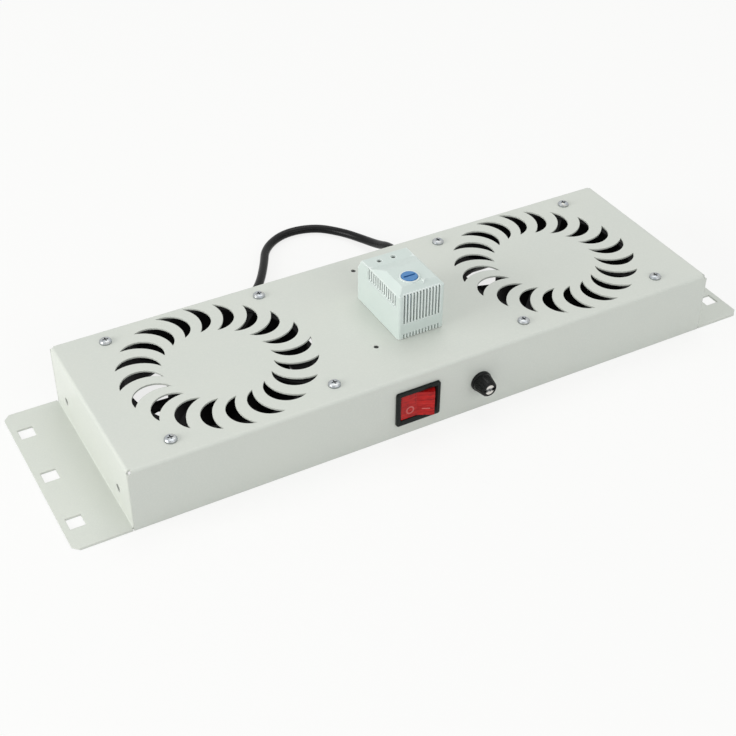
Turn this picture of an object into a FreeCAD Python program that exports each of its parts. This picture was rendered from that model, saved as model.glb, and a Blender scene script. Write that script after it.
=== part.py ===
import FreeCAD, Part
import math
import os

# Rack fan tray, 19 inches wide and three rack units deep. A folded sheet cover with two fan
# grilles carries two 120 mm mains fans on its underside, a rocker switch and a fuse holder in
# its front wall, a small bimetal thermostat on top and a mains lead at the back.
# Millimetres. X runs along the tray to the right, Y to the back and Z up. The sizes below are
# counted from the middle of the cover at its open lower edge; the finished pieces are then
# moved back by half of what stands out in front, so that the origin is the middle of the
# whole part, at its base.

V = FreeCAD.Vector
X, Y, Z = V(1, 0, 0), V(0, 1, 0), V(0, 0, 1)

# ---- Folded cover
rack_width = 482.6
body_length = 410.0
body_depth = 132.5
body_height = 44.0
sheet = 1.2
bend_radius = 0.8
corner_relief = 2.4
corner_seam = 0.3
ear_chamfer = 4.0
ear_hole = 9.5
ear_hole_span = 465.1
ear_hole_pitch = 44.45
end_hole_radius = 2.5
end_hole_height = 15.5
end_hole_span = 88.9
spare_hole_radius = 1.6

# ---- Fan grille punched in the cover
louvre_count = 20
louvre_inner = 34.0
louvre_outer = 62.0
louvre_bulge = 12.3
louvre_hollow = 5.2
louvre_lean = 1.5
louvre_start = 86.0

# ---- Fans
fan_span = 240.8
fan_setback = 1.2
fan_size = 119.5
fan_depth = 38.0
fan_corner = 6.0
fan_flange = 4.5
fan_hole_span = 105.0
fan_hole_radius = 2.2
throat_radius = 57.3
throat_wall = 2.0
throat_flare = 3.5
motor_radius = 32.0
motor_plate = 5.0
motor_recess = 0.6
strut_width = 4.5
strut_count = 4
impeller_gap = 1.3
impeller_wall = 2.0
impeller_tip_gap = 1.3
blade_count = 5
blade_root_pitch = 46.0
blade_tip_pitch = 30.0
blade_root_chord = 33.0
blade_tip_chord = 44.0
blade_thickness = 2.0
blade_camber = 4.5
rotor_angles = {"left": 32.0, "right": 17.0}
shaft_radius = 2.0
shaft_clearance = 0.08
bearing_radius = 5.5
bearing_length = 5.0
bearing_wall = 1.5
core_radius = 25.0
core_height = 14.0
air_gap = 0.6
ring_thickness = 2.4
spade_width = 2.8
spade_thickness = 0.5
spade_length = 7.5
spade_pitch = 5.0
spade_y = 39.5
spade_sleeve = 12.0

# ---- Fasteners
screw_radius = 2.0
screw_head_radius = 3.9
screw_head_height = 2.2
screw_length = 12.0
nut_across = 7.0
nut_height = 3.2
fit = 0.05

# ---- Thermostat on top of the cover
thermo_x = 3.8
thermo_width = 32.8
thermo_depth = 54.0
thermo_front = -31.5
thermo_height = 36.8
thermo_crest = -7.0
thermo_ramp = 12.5
thermo_terrace = 5.0
thermo_slant = 6.2
thermo_slant_drop = 9.8
thermo_wall = 1.6
thermo_corner = 2.0
thermo_edge_across = 4.3
thermo_edge_down = 4.8
thermo_base = 2.0
thermo_foot_gap = 0.3
vent_count = 12
vent_pitch = 2.25
vent_width = 1.15
vent_floor = 11.5
comb_top = 3.6
side_vent_count = 13
side_vent_pitch = 2.7
side_vent_floor = 23.0
side_vent_top = 30.8
dial_radius = 5.2
dial_height = 1.2
dial_x = 1.0
dial_y = -20.2
dial_collar = 1.3
mark_reach = 3.4
mark_angle = -49.0
spindle_radius = 1.5
terminal_pitch = 10.2
terminal_x = 2.3
terminal_y = 11.0
terminal_hole_radius = 1.7
clamp_floor = 20.0
clamp_top = 27.0

# ---- Rocker switch in the front wall
switch_x = -18.4
switch_z = 21.5
bezel_length = 30.8
bezel_width = 25.0
bezel_height = 2.0
bezel_slope = 1.0
switch_length = 28.0
switch_width = 21.6
switch_depth = 21.0
switch_wall = 1.2
switch_cavity = 13.0
window_length = 24.4
window_width = 18.6
rocker_gap = 0.3
rocker_tilt = 13.0
rocker_face = 3.6
rocker_skirt = 1.5
rocker_wall = 1.6
pivot_depth = 3.0
pivot_radius = 1.4
pole_spacing = 9.0
plunger_radius = 1.2
plunger_reach = 7.5
bridge_pivot = 8.4
bridge_tilt = 3.9
bridge_reach = 8.0
bridge_thickness = 0.7
fulcrum_radius = 0.5
fulcrum_seat = 0.55
tab_width = 6.3
tab_thickness = 0.8
tab_length = 8.5

# ---- Fuse holder in the front wall
fuse_x = 27.5
fuse_z = 21.6
fuse_flange_radius = 7.1
fuse_flange = 2.0
fuse_barrel_radius = 6.0
fuse_barrel_length = 30.0
fuse_bore_radius = 3.6
fuse_collar_radius = 4.9
fuse_collar = 3.4
cap_base_radius = 6.5
cap_tip_radius = 5.4
cap_length = 8.4
cap_gap = 0.3
cap_flutes = 16
fuse_radius = 2.6
fuse_length = 20.0
fuse_cap_length = 5.0

# ---- Wiring inside
block_width = 32.0
block_depth = 18.0
block_height = 15.0
block_x = 0.0
block_y = 50.3
wire_radius = 1.1
tie_base_x = -27.6
tie_base_y = -30.4
tie_base_size = 18.0
tie_base_height = 4.0
earth_x = 44.0
earth_y = 14.0
earth_length = 12.0
lug_thickness = 0.8
grommet_x = 5.0
grommet_y = 34.5
grommet_radius = 4.0

# ---- Mains lead
cord_radius = 3.1
gland_x = 58.8
gland_z = 15.8
gland_flange_radius = 8.5
gland_flange = 2.5
gland_barrel_radius = 6.2
gland_barrel = 8.0
gland_nose = 22.0
gland_nose_radius = 4.6
floor_gap = 0.05
hank_left = -186.0
hank_right = -20.0
hank_wall_gap = 0.8
hank_layers = 2
fold_radius = 18.6
fold_neck = 36.0
strap_width = 14.0
strap_thickness = 1.2
plug_width = 27.6
plug_height = 20.4
plug_length = 32.0
plug_corner = 5.0
plug_wall = 1.6
plug_recess = 17.0
plug_boot = 16.0
pin_width = 4.0
pin_thickness = 2.0
pin_length = 16.0
pin_spacing = 14.0
pin_rise = 4.0

# ---- Places worked out from the sizes above
top = body_height
underside = body_height - sheet
front = -body_depth / 2
rear = body_depth / 2
outer_bend = bend_radius + sheet
front_reach = fuse_flange + cap_gap + cap_length
fan_floor = underside - fan_depth
rotor_top = underside - motor_recess - motor_plate - impeller_gap
rotor_floor = fan_floor + motor_recess
cord_z = cord_radius + floor_gap
hank_end = fold_radius + cord_radius
hank_y = rear + hank_wall_gap + hank_end
hank_top = floor_gap + 2 * cord_radius * hank_layers
cap_face = fuse_flange + cap_gap
fuse_seat = fuse_flange + fuse_collar - 2.0
fuse_depth = fuse_seat - fuse_length - 0.3
cap_hollow = fuse_flange + fuse_collar + 0.3
spade_start = fan_size / 2 - 1.5
spade_floor = underside - fan_flange - 6
bearing_seat = rotor_floor + impeller_wall + 4

os.makedirs("parts", exist_ok=True)


# ---- Helpers
def box(x0, x1, y0, y1, z0, z1):
    return Part.makeBox(x1 - x0, y1 - y0, z1 - z0, V(x0, y0, z0))


def middle_box(centre, size):
    return Part.makeBox(size.x, size.y, size.z, centre - size * 0.5)


def disc(radius, z0, z1, x=0.0, y=0.0):
    return Part.makeCylinder(radius, z1 - z0, V(x, y, z0))


def rod(radius, start, end):
    return Part.makeCylinder(radius, (end - start).Length, start, end - start)


def prism(points, direction):
    return Part.Face(Part.makePolygon(points + points[:1])).extrude(direction)


def turned(profile):
    """A turned piece about Z from its (radius, height) outline."""
    points = [V(r, 0, z) for r, z in profile]
    return Part.Face(Part.makePolygon(points + points[:1])).revolve(V(), Z, 360)


def facing(shape, place, direction):
    """The shape with its Z axis turned to the direction and its origin moved to the place."""
    copy = shape.copy()
    copy.Placement = FreeCAD.Placement(place, FreeCAD.Rotation(Z, direction)) * copy.Placement
    return copy


def moved(shape, x=0.0, y=0.0, z=0.0):
    return shape.translated(V(x, y, z))


def spun(shape, degrees, centre=V(), axis=Z):
    copy = shape.copy()
    copy.rotate(centre, axis, degrees)
    return copy


def joined(shapes):
    shapes = list(shapes)
    return shapes[0].multiFuse(shapes[1:]).removeSplitter() if len(shapes) > 1 else shapes[0]


def rounded(shape, radius, test):
    """The shape with a radius on each edge whose middle and direction pass the test."""
    edges = []
    for edge in shape.Edges:
        first, last = edge.firstVertex().Point, edge.lastVertex().Point
        if test((first + last) * 0.5, last - first):
            edges.append(edge)
    return shape.makeFillet(radius, edges)


def upright(middle, along):
    return abs(along.x) < 1e-6 and abs(along.y) < 1e-6 and abs(along.z) > 1e-6


def tube(points, radius):
    """A tube along straight runs joined by tangent arcs, and its smallest bend radius."""
    edges, start, radii = [], points[0], []
    for before, corner, after in zip(points, points[1:], points[2:]):
        back, ahead = (before - corner), (after - corner)
        reach = 0.45 * min(back.Length, ahead.Length)
        back.normalize()
        ahead.normalize()
        turn = math.pi - back.getAngle(ahead)
        bend = reach / math.tan(turn / 2)
        radii.append(bend)
        inwards = back + ahead
        inwards.normalize()
        into, out = corner + back * reach, corner + ahead * reach
        apex = corner + inwards * (math.hypot(bend, reach) - bend)
        edges += [Part.LineSegment(start, into).toShape(), Part.Arc(into, apex, out).toShape()]
        start = out
    edges.append(Part.LineSegment(start, points[-1]).toShape())
    path = Part.Wire(edges)
    ring = Part.Wire(Part.makeCircle(radius, points[0], points[1] - points[0]))
    solid = path.makePipeShell([ring], True, False)
    expected = math.pi * radius ** 2 * path.Length
    print(f"tube {path.Length:.1f} long, smallest bend {min(radii):.1f},"
          f" volume {solid.Volume / expected:.4f} of its section times its length")
    return solid


def hexagon(across, height, bore):
    corner = across / math.sqrt(3)
    points = [V(corner * math.cos(math.radians(60 * k)), corner * math.sin(math.radians(60 * k)), 0)
              for k in range(6)]
    return prism(points, V(0, 0, height)).cut(disc(bore, -1, height + 1))


def save(name, shapes):
    """Write one sub-part, moved so that the origin is the middle of the whole part."""
    shapes = shapes if isinstance(shapes, list) else [shapes]
    whole = Part.makeCompound(shapes) if len(shapes) > 1 else shapes[0]
    whole = whole.translated(V(0, front_reach / 2, 0))
    whole.exportStep(f"parts/{name}.step")
    solids = whole.Solids
    print(f"{name}: {len(solids)} solids, {sum(s.Volume for s in solids):.0f} mm3, valid {whole.isValid()}")


# ---- Cover
def bend(x, z, first_angle, y0, y1):
    """A quarter of a bent sheet about a line along Y."""
    def arc(radius):
        return [V(x + radius * math.cos(math.radians(first_angle + a)), y0,
                  z + radius * math.sin(math.radians(first_angle + a))) for a in (0, 45, 90)]
    inner, outer = arc(bend_radius), arc(outer_bend)
    wire = Part.Wire([Part.Arc(*inner).toShape(), Part.makeLine(inner[2], outer[2]),
                      Part.Arc(*outer[::-1]).toShape(), Part.makeLine(outer[0], inner[0])])
    return Part.Face(wire).extrude(V(0, y1 - y0, 0))


def end_and_ear():
    """The left end: its bend from the top, its wall, the bend into the ear and the ear."""
    wall_y = body_depth / 2 - sheet - corner_seam
    top_y = body_depth / 2 - corner_relief
    out = -body_length / 2
    ear = box(-rack_width / 2, out - bend_radius, front, rear, 0, sheet)
    for side in (-1, 1):
        corner = V(-rack_width / 2, side * rear, -1)
        ear = ear.cut(prism([corner, corner + X * ear_chamfer, corner - Y * side * ear_chamfer],
                            V(0, 0, sheet + 2)))
    for row in (-1, 0, 1):
        ear = ear.cut(middle_box(V(-ear_hole_span / 2, row * ear_hole_pitch, sheet / 2),
                                 V(ear_hole, ear_hole, 3 * sheet)))
    wall = box(out, out + sheet, -wall_y, wall_y, outer_bend, top - corner_relief)
    wall = wall.fuse(box(out, out + sheet, -top_y, top_y, top - corner_relief, top - outer_bend))
    for side in (-1, 1):
        hole = V(out - 1, side * end_hole_span / 2, end_hole_height)
        wall = wall.cut(rod(end_hole_radius, hole, hole + X * (sheet + 2)))
    return [ear, wall, bend(out - bend_radius, outer_bend, 270, -wall_y, wall_y),
            bend(out + outer_bend, top - outer_bend, 90, -top_y, top_y)]


def long_wall():
    """The front wall and its bend from the top, as a piece about the origin's X axis."""
    half = body_length / 2
    top_x = half - corner_relief
    quarter = spun(bend(0, 0, 90, -top_x, top_x), 90)
    wall = box(-half, half, front, front + sheet, 0, top - corner_relief)
    upper = box(-top_x, top_x, front, front + sheet, top - corner_relief, top - outer_bend)
    return [wall, upper, moved(quarter, 0, front + outer_bend, top - outer_bend)]


def crescent(angle):
    """One grille opening: two arcs between the same tips, both bulging clockwise."""
    def at(radius, degrees):
        return V(radius * math.cos(math.radians(degrees)), radius * math.sin(math.radians(degrees)), 0)
    inner, outer = at(louvre_inner, angle - louvre_lean), at(louvre_outer, angle + louvre_lean)
    along = outer - inner
    along.normalize()
    sideways = V(along.y, -along.x, 0)
    middle = (inner + outer) * 0.5
    wire = Part.Wire([Part.Arc(inner, middle + sideways * louvre_bulge, outer).toShape(),
                      Part.Arc(outer, middle + sideways * louvre_hollow, inner).toShape()])
    return Part.Face(wire).extrude(V(0, 0, 3 * sheet))


def grille(x):
    step = 360 / louvre_count
    return [moved(crescent(louvre_start - k * step), x, fan_setback, top - 2 * sheet)
            for k in range(louvre_count)]


def fan_corners():
    """The eight fan screw places, at the top of the cover."""
    half = fan_hole_span / 2
    return [V(side * fan_span / 2 + i * half, fan_setback + j * half, top)
            for side in (-1, 1) for i in (-1, 1) for j in (-1, 1)]


def foot_places():
    """Middles of the two slots that the thermostat's feet snap through."""
    reach = 0.3 * thermo_width
    return [V(thermo_x, thermo_front + 12, 0), V(thermo_x, thermo_front + thermo_depth - 8, 0)], reach


def make_cover():
    flat_x = body_length / 2 - outer_bend
    flat_y = body_depth / 2 - outer_bend
    panel = box(-flat_x, flat_x, -flat_y, flat_y, underside, top)
    notch = corner_relief - outer_bend
    for i in (-1, 1):
        for j in (-1, 1):
            panel = panel.cut(middle_box(V(i * flat_x, j * flat_y, top), V(2 * notch, 2 * notch, 4)))
    left, front_wall = end_and_ear(), long_wall()
    right = [spun(s, 180) for s in left]
    rear_wall = [spun(s, 180) for s in front_wall]
    cover = joined([panel] + left + right + front_wall + rear_wall)
    cuts = grille(-fan_span / 2) + grille(fan_span / 2)
    cuts += [disc(fan_hole_radius, underside - 1, top + 1, p.x, p.y) for p in fan_corners()]
    cuts += [disc(spare_hole_radius, underside - 1, top + 1, x, y)
             for x, y in ((tie_base_x, tie_base_y), (block_x, block_y))]
    cuts.append(disc(grommet_radius, underside - 1, top + 1, grommet_x, grommet_y))
    feet, reach = foot_places()
    cuts += [middle_box(p + Z * top, V(2 * reach + 2 * fit, 4 + 2 * fit, 4)) for p in feet]
    cuts.append(middle_box(V(switch_x, front, switch_z),
                           V(switch_length + 2 * fit, 4, switch_width + 2 * fit)))
    cuts.append(rod(fuse_barrel_radius + fit, V(fuse_x, front - 2, fuse_z), V(fuse_x, front + 4, fuse_z)))
    cuts.append(rod(gland_barrel_radius + fit, V(gland_x, rear - 4, gland_z), V(gland_x, rear + 2, gland_z)))
    return cover.cut(Part.makeCompound(cuts))


# ---- Fans
def fan_frame():
    """The die-cast frame with its motor plate on struts."""
    half = fan_size / 2
    plate = rounded(box(-half, half, -half, half, 0, fan_flange), fan_corner, upright)
    plates = plate.fuse(moved(plate, 0, 0, fan_depth - fan_flange))
    frame = plates.fuse(disc(throat_radius + throat_wall, 0, fan_depth))
    throat = turned([(0, -1), (throat_radius + throat_flare, -1), (throat_radius + throat_flare, 0),
                     (throat_radius, throat_flare * 1.6), (throat_radius, fan_depth + 1),
                     (0, fan_depth + 1)])
    frame = frame.cut(throat)
    plate_top = fan_depth - motor_recess
    plate_floor = plate_top - motor_plate
    arms = [spun(box(0, throat_radius + 0.5, -strut_width / 2, strut_width / 2, plate_floor, plate_top),
                 45 + 360 / strut_count * k) for k in range(strut_count)]
    tube_floor = bearing_seat - fan_floor
    bearing_tube = disc(bearing_radius + bearing_wall, tube_floor, plate_top)
    frame = frame.fuse(arms + [disc(motor_radius, plate_floor, plate_top), bearing_tube])
    frame = frame.cut(disc(bearing_radius, tube_floor - 1, plate_top - 1))
    reach = fan_hole_span / 2
    holes = [disc(fan_hole_radius, -1, fan_depth + 1, i * reach, j * reach)
             for i in (-1, 1) for j in (-1, 1)]
    frame = frame.cut(holes).removeSplitter()
    return moved(frame, 0, 0, fan_floor)


def blade():
    """One blade lofted from root to tip, before it is trimmed to the impeller's outline."""
    wires = []
    root, tip = motor_radius - impeller_wall / 2, throat_radius
    height = (rotor_top + rotor_floor) / 2
    for share in (0.0, 0.5, 1.0):
        radius = root + (tip - root) * share
        pitch = math.radians(blade_root_pitch + (blade_tip_pitch - blade_root_pitch) * share)
        chord = blade_root_chord + (blade_tip_chord - blade_root_chord) * share
        along = V(0, math.cos(pitch), math.sin(pitch))
        over = V(0, -math.sin(pitch), math.cos(pitch))
        middle = V(radius, 0, height)

        def point(step, lift):
            return middle + along * (step * chord / 2) + over * lift

        edge = blade_thickness / 4
        upper = [point(-1, edge), point(0, blade_camber + blade_thickness / 2), point(1, edge)]
        lower = [point(1, -edge), point(0, blade_camber - blade_thickness / 2), point(-1, -edge)]
        wires.append(Part.Wire([Part.Arc(*upper).toShape(), Part.makeLine(upper[2], lower[0]),
                                Part.Arc(*lower).toShape(), Part.makeLine(lower[2], upper[0])]))
    return Part.makeLoft(wires, True, False)


def impeller():
    """The rotor cup with its blades, about the fan's axis."""
    tip = throat_radius - impeller_tip_gap
    cup = turned([(0, rotor_floor), (motor_radius - 2, rotor_floor), (motor_radius, rotor_floor + 2),
                  (motor_radius, rotor_top), (motor_radius - impeller_wall, rotor_top),
                  (motor_radius - impeller_wall, rotor_floor + impeller_wall),
                  (0, rotor_floor + impeller_wall)])
    boss = disc(shaft_radius + 2.5, rotor_floor + impeller_wall / 2, rotor_floor + impeller_wall + 2.5)
    trim = disc(tip, rotor_floor + 1, rotor_top - 0.5).cut(
        disc(motor_radius - impeller_wall / 2, rotor_floor, rotor_top))
    one = blade().common(trim)
    blades = [spun(one, 360 / blade_count * k) for k in range(blade_count)]
    body = cup.fuse(blades + [boss])
    return body.cut(disc(shaft_radius, rotor_floor + 1, rotor_top)).removeSplitter()


def fan_shaft():
    return disc(shaft_radius, rotor_floor + 1, underside - motor_recess - 1.5)


def rotor_ring():
    outer = motor_radius - impeller_wall
    return disc(outer, rotor_floor + impeller_wall + 2, rotor_top - 1).cut(
        disc(outer - ring_thickness, rotor_floor, rotor_top))


def fan_bearings():
    seats = (bearing_seat, underside - motor_recess - 1 - bearing_length)
    return [disc(bearing_radius, z, z + bearing_length).cut(
        disc(shaft_radius + shaft_clearance, z - 1, z + bearing_length + 1)) for z in seats]


def core_floor():
    return (rotor_top + rotor_floor + impeller_wall) / 2 - core_height / 2 + 1


def fan_core():
    """The laminated core: a hub with four poles that carry curved shoes."""
    z0, z1 = core_floor(), core_floor() + core_height
    reach = min(core_radius, motor_radius - impeller_wall - ring_thickness - air_gap)
    shoes = disc(reach, z0, z1).cut(disc(reach - 3, z0 - 1, z1 + 1))
    gaps = [spun(box(0, reach + 1, -3, 3, z0 - 1, z1 + 1), 45 + 90 * k) for k in range(4)]
    poles = [spun(box(0, reach - 1.5, -4, 4, z0, z1), 90 * k) for k in range(4)]
    core = shoes.cut(gaps).fuse(poles + [disc(10, z0, z1)])
    return core.cut(disc(bearing_radius + bearing_wall, z0 - 1, z1 + 1)).removeSplitter()


def fan_windings():
    """One coil round each pole, between the hub and the shoe."""
    z0, z1 = core_floor() - 2.5, core_floor() + core_height + 2.5
    coil = box(11, 20, -6.5, 6.5, z0, z1).cut(box(10, 21, -4, 4, z0 + 2.5, z1 - 2.5))
    return [spun(coil, 90 * k) for k in range(4)]


def spade_ways():
    return [spade_y + k * spade_pitch / 2 for k in (-1, 1)]


def spade_block():
    """The terminal carrier under the upper flange, at the corner next to the middle."""
    ceiling = underside - fan_flange
    carrier = box(spade_start - 8, spade_start, spade_y - 5.5, spade_y + 5.5, ceiling - 11, ceiling)
    tabs = [box(spade_start - 3.5, spade_start + spade_length, y - spade_width / 2, y + spade_width / 2,
                spade_floor, spade_floor + spade_thickness) for y in spade_ways()]
    return carrier.cut(tabs), tabs


def spade_sleeves():
    z = spade_floor + spade_thickness / 2
    tab = V(spade_length + 1, spade_width + 2 * fit, spade_thickness + 2 * fit)
    return [box(spade_start + 0.3, spade_start + spade_sleeve, y - 2.3, y + 2.3, z - 1.6, z + 1.6).cut(
        middle_box(V(spade_start + tab.x / 2, y, z), tab)) for y in spade_ways()]


def make_fan(name, side):
    """One fan. Pieces that face the middle are made for the left fan and mirrored for the right."""
    x = side * fan_span / 2

    def put(shape, mirror=False):
        shape = shape.mirror(V(), X) if mirror and side > 0 else shape
        return moved(shape, x, fan_setback, 0)

    save(f"{name}_fan_frame", put(fan_frame()))
    save(f"{name}_fan_core", put(fan_core()))
    save(f"{name}_fan_windings", [put(s) for s in fan_windings()])
    carrier, tabs = spade_block()
    save(f"{name}_fan_terminals", [put(s, True) for s in [carrier] + tabs])
    save(f"{name}_fan_impeller", put(spun(impeller(), rotor_angles[name])))
    save(f"{name}_fan_rotor_ring", put(rotor_ring()))
    save(f"{name}_fan_shaft", put(fan_shaft()))
    z = spade_floor + spade_thickness / 2
    start = x - side * (spade_start + spade_sleeve)
    y = fan_setback + spade_y
    end = block_x + side * block_width / 2
    way = block_y - 3.5
    lead = [tube([V(start, y + k * spade_pitch / 2, z), V(start - side * 8, y + k * spade_pitch / 2, z),
                  V((start + end) / 2, (y + way) / 2 + k * 2.2, z - 1.5),
                  V(end + side * 8, way + k * 2.2, z), V(end, way + k * 2.2, z)],
                 wire_radius) for k in (-1, 1)]
    save(f"{name}_fan_lead", lead)
    return [put(s) for s in fan_bearings()], [put(s, True) for s in spade_sleeves()]


def pan_head_screw(length):
    """A pan head screw with a cross recess, head upwards on the plane z = 0."""
    r, h = screw_head_radius, screw_head_height
    body = turned([(0, -length), (screw_radius - 0.5, -length), (screw_radius - fit, 0.6 - length),
                   (screw_radius - fit, 0), (r, 0), (r, 0.45 * h), (0.8 * r, 0.85 * h), (0.45 * r, h),
                   (0, h)])
    recess = [middle_box(V(0, 0, h), V(0.95 * r, 0.9, 1.8)), middle_box(V(0, 0, h), V(0.9, 0.95 * r, 1.8))]
    return body.cut(recess)


def make_fan_fasteners():
    """The fans' screws, and all nuts of one size: eight below the fans and two on the earth stud."""
    screw, nut = pan_head_screw(screw_length), hexagon(nut_across, nut_height, screw_radius)
    save("fan_screws", [moved(screw, p.x, p.y, p.z) for p in fan_corners()])
    nut_z = underside - fan_flange - nut_height
    nuts = [moved(nut, p.x, p.y, nut_z) for p in fan_corners()]
    nuts += [moved(nut, earth_x, earth_y, underside - nut_height),
             moved(nut, earth_x, earth_y, underside - 2 * nut_height - lug_thickness)]
    save("nuts", nuts)


# ---- Thermostat
def thermostat_outline():
    """Side view of the case from the front foot round to the rear foot, above the cover."""
    y0, y1, h = thermo_front, thermo_front + thermo_depth, thermo_height
    terrace = h - thermo_terrace
    return [V(0, y0, thermo_foot_gap), V(0, y0, h - thermo_edge_down), V(0, y0 + thermo_edge_across, h),
            V(0, thermo_crest, h), V(0, thermo_crest + thermo_ramp, terrace),
            V(0, y1 - thermo_slant, terrace), V(0, y1, terrace - thermo_slant_drop),
            V(0, y1, thermo_foot_gap)]


def thermostat_block(inset):
    """The case's outer form, or its hollow when it is inset by the wall."""
    points = thermostat_outline()
    face = Part.Face(Part.makePolygon(points + points[:1]))
    if inset:
        face = face.makeOffset2D(-inset)
    half = thermo_width / 2 - inset
    body = moved(face, -half).extrude(X * 2 * half)
    if not inset:
        body = rounded(body, thermo_corner,
                       lambda m, a: abs(abs(m.x) - half) < 1e-6 and abs(a.x) + abs(a.y) < 1e-6)
    peak = thermo_height - inset
    across, down = thermo_edge_across, thermo_edge_down
    for side in (-1, 1):
        edge = V(side * half, thermo_front - 1, peak)
        body = body.cut(prism([edge + V(side, 0, 1), edge + V(-side * across, 0, 0) + Z,
                               edge + V(-side * across, 0, 0), edge - Z * down,
                               edge + V(side, 0, -down)], Y * 80))
    if inset:
        low = body.BoundBox
        body = body.fuse(box(-half, half, low.YMin, low.YMax, -1, low.ZMin + 1))
    return body


def thermostat_vents():
    """Front slots that run into the bevel, the comb at the foot and the slots in both sides."""
    cuts = []
    first = -(vent_count - 1) / 2 * vent_pitch
    for k in range(vent_count):
        x = first + k * vent_pitch
        cuts.append(box(x - vent_width / 2, x + vent_width / 2, thermo_front - 1,
                        thermo_front + thermo_wall + 2, vent_floor,
                        thermo_height - thermo_edge_down + 0.6))
        cuts.append(box(x - vent_width / 2, x + vent_width / 2, thermo_front - 1,
                        thermo_front + thermo_wall + 0.5, -1, comb_top))
    for k in range(side_vent_count):
        y = thermo_front + 5 + k * side_vent_pitch
        for side in (-1, 1):
            wall = side * thermo_width / 2
            cuts.append(box(min(wall, wall - side * 3), max(wall, wall - side * 3),
                            y, y + 1.4, side_vent_floor, side_vent_top))
            cuts.append(box(min(wall + side, wall - side * 0.5), max(wall + side, wall - side * 0.5),
                            y - 0.7, y + side_vent_pitch - 0.6, side_vent_floor - 0.6, side_vent_top + 0.6))
    return cuts


def terminal_places():
    return [terminal_x + k * terminal_pitch / 2 for k in (-1, 1)]


def make_thermostat():
    def put(shape):
        return moved(shape, thermo_x, 0, top)

    dial = V(dial_x - thermo_x, dial_y, 0)
    case = thermostat_block(0).cut(thermostat_block(thermo_wall)).cut(thermostat_vents())
    rear_y = thermo_front + thermo_depth
    for x in terminal_places():
        case = case.cut([disc(terminal_hole_radius, 20, 40, x - thermo_x, terminal_y),
                         box(x - thermo_x - 2.6, x - thermo_x + 2.6, rear_y - 3, rear_y + 1, 14, 20)])
    rim = dial_radius + dial_collar
    collar = disc(rim, thermo_height - 0.5, thermo_height + 0.6, dial.x, dial.y)
    mark = prism([V(rim + 0.4, 0, thermo_height - 1.2), V(rim + mark_reach, -1.7, thermo_height - 1.2),
                  V(rim + mark_reach, 1.7, thermo_height - 1.2)], Z * 1.8)
    case = case.fuse([collar, moved(spun(mark, mark_angle), dial.x, dial.y)])
    case = case.cut(disc(dial_radius + 0.25, thermo_height - 0.6, 50, dial.x, dial.y))
    case = case.cut(disc(spindle_radius + 0.1, 30, 50, dial.x, dial.y))
    save("thermostat_case", put(case))

    half = thermo_width / 2 - thermo_wall - fit
    y0, y1 = thermo_front + thermo_wall + fit, rear_y - thermo_wall - fit
    base = box(-half, half, y0, y1, 0, thermo_base)
    feet, reach = foot_places()
    for p, hook in zip(feet, (-1, 1)):
        leg = box(-reach, reach, p.y - 2, p.y + 2, -sheet - 3, 0)
        barb = prism([V(-reach, p.y + hook * 2, -sheet - fit), V(-reach, p.y + hook * 3.2, -sheet - fit - 0.6),
                      V(-reach, p.y + hook * 2, -sheet - 3)], X * 2 * reach)
        base = base.fuse([leg, barb])
    save("thermostat_base", put(base.removeSplitter()))

    block_top = 14.0
    strip_top = block_top + 1.1
    knob = disc(dial_radius, thermo_height - 0.5, thermo_height + dial_height)
    knob = rounded(knob, 0.5, lambda m, a: a.Length < 1e-6 and m.z > thermo_height + 1)
    knob = knob.fuse(disc(spindle_radius, strip_top + 0.1, thermo_height))
    slot = V(2 * dial_radius - 2.4, 1.3, 2.4)
    knob = knob.cut(middle_box(V(0, 0, thermo_height + dial_height), slot))
    save("thermostat_dial", put(moved(knob, dial.x, dial.y)))

    carrier_y = thermo_front + thermo_depth / 2
    carrier = box(-half, half, carrier_y, y1, thermo_base, block_top)
    carrier = carrier.fuse([
        box(-half, half, terminal_y - 3, terminal_y + 3, block_top, clamp_floor),
        box(dial.x - 4, dial.x + 4, dial.y - 4, dial.y + 4, thermo_base, block_top - 1),
        box(dial.x - 4, dial.x + 4, dial.y, carrier_y + 1, thermo_base, 6)])
    save("thermostat_contact_carrier", put(carrier.removeSplitter()))

    strip = box(dial.x - 4, dial.x + 4, dial.y - 3, carrier_y + 8, strip_top - 0.8, strip_top)
    strip = strip.fuse(box(dial.x - 4, dial.x + 4, carrier_y + 4, carrier_y + 8, block_top, strip_top))
    save("thermostat_bimetal_strip", put(strip.removeSplitter()))

    clamps = []
    for x in terminal_places():
        place = x - thermo_x
        clamp = box(place - 3, place + 3, terminal_y - 4, terminal_y + 4, clamp_floor, clamp_top)
        clamp = clamp.cut(box(place - 2, place + 2, terminal_y - 5, terminal_y + 5,
                              clamp_floor + 1, clamp_top - 2))
        clamps.append(clamp.cut(disc(1.25, clamp_top - 3, clamp_top + 1, place, terminal_y)))
    save("thermostat_clamps", [put(s) for s in clamps])
    screws = []
    for x in terminal_places():
        head = disc(1.95, clamp_top, clamp_top + 1.6)
        shank = disc(1.2, clamp_top - 1.8, clamp_top)
        slot = middle_box(V(0, 0, clamp_top + 1.6), V(4, 0.7, 1.4))
        screws.append(moved(head.fuse(shank).cut(slot), x - thermo_x, terminal_y))
    save("thermostat_terminal_screws", [put(s) for s in screws])


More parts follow.
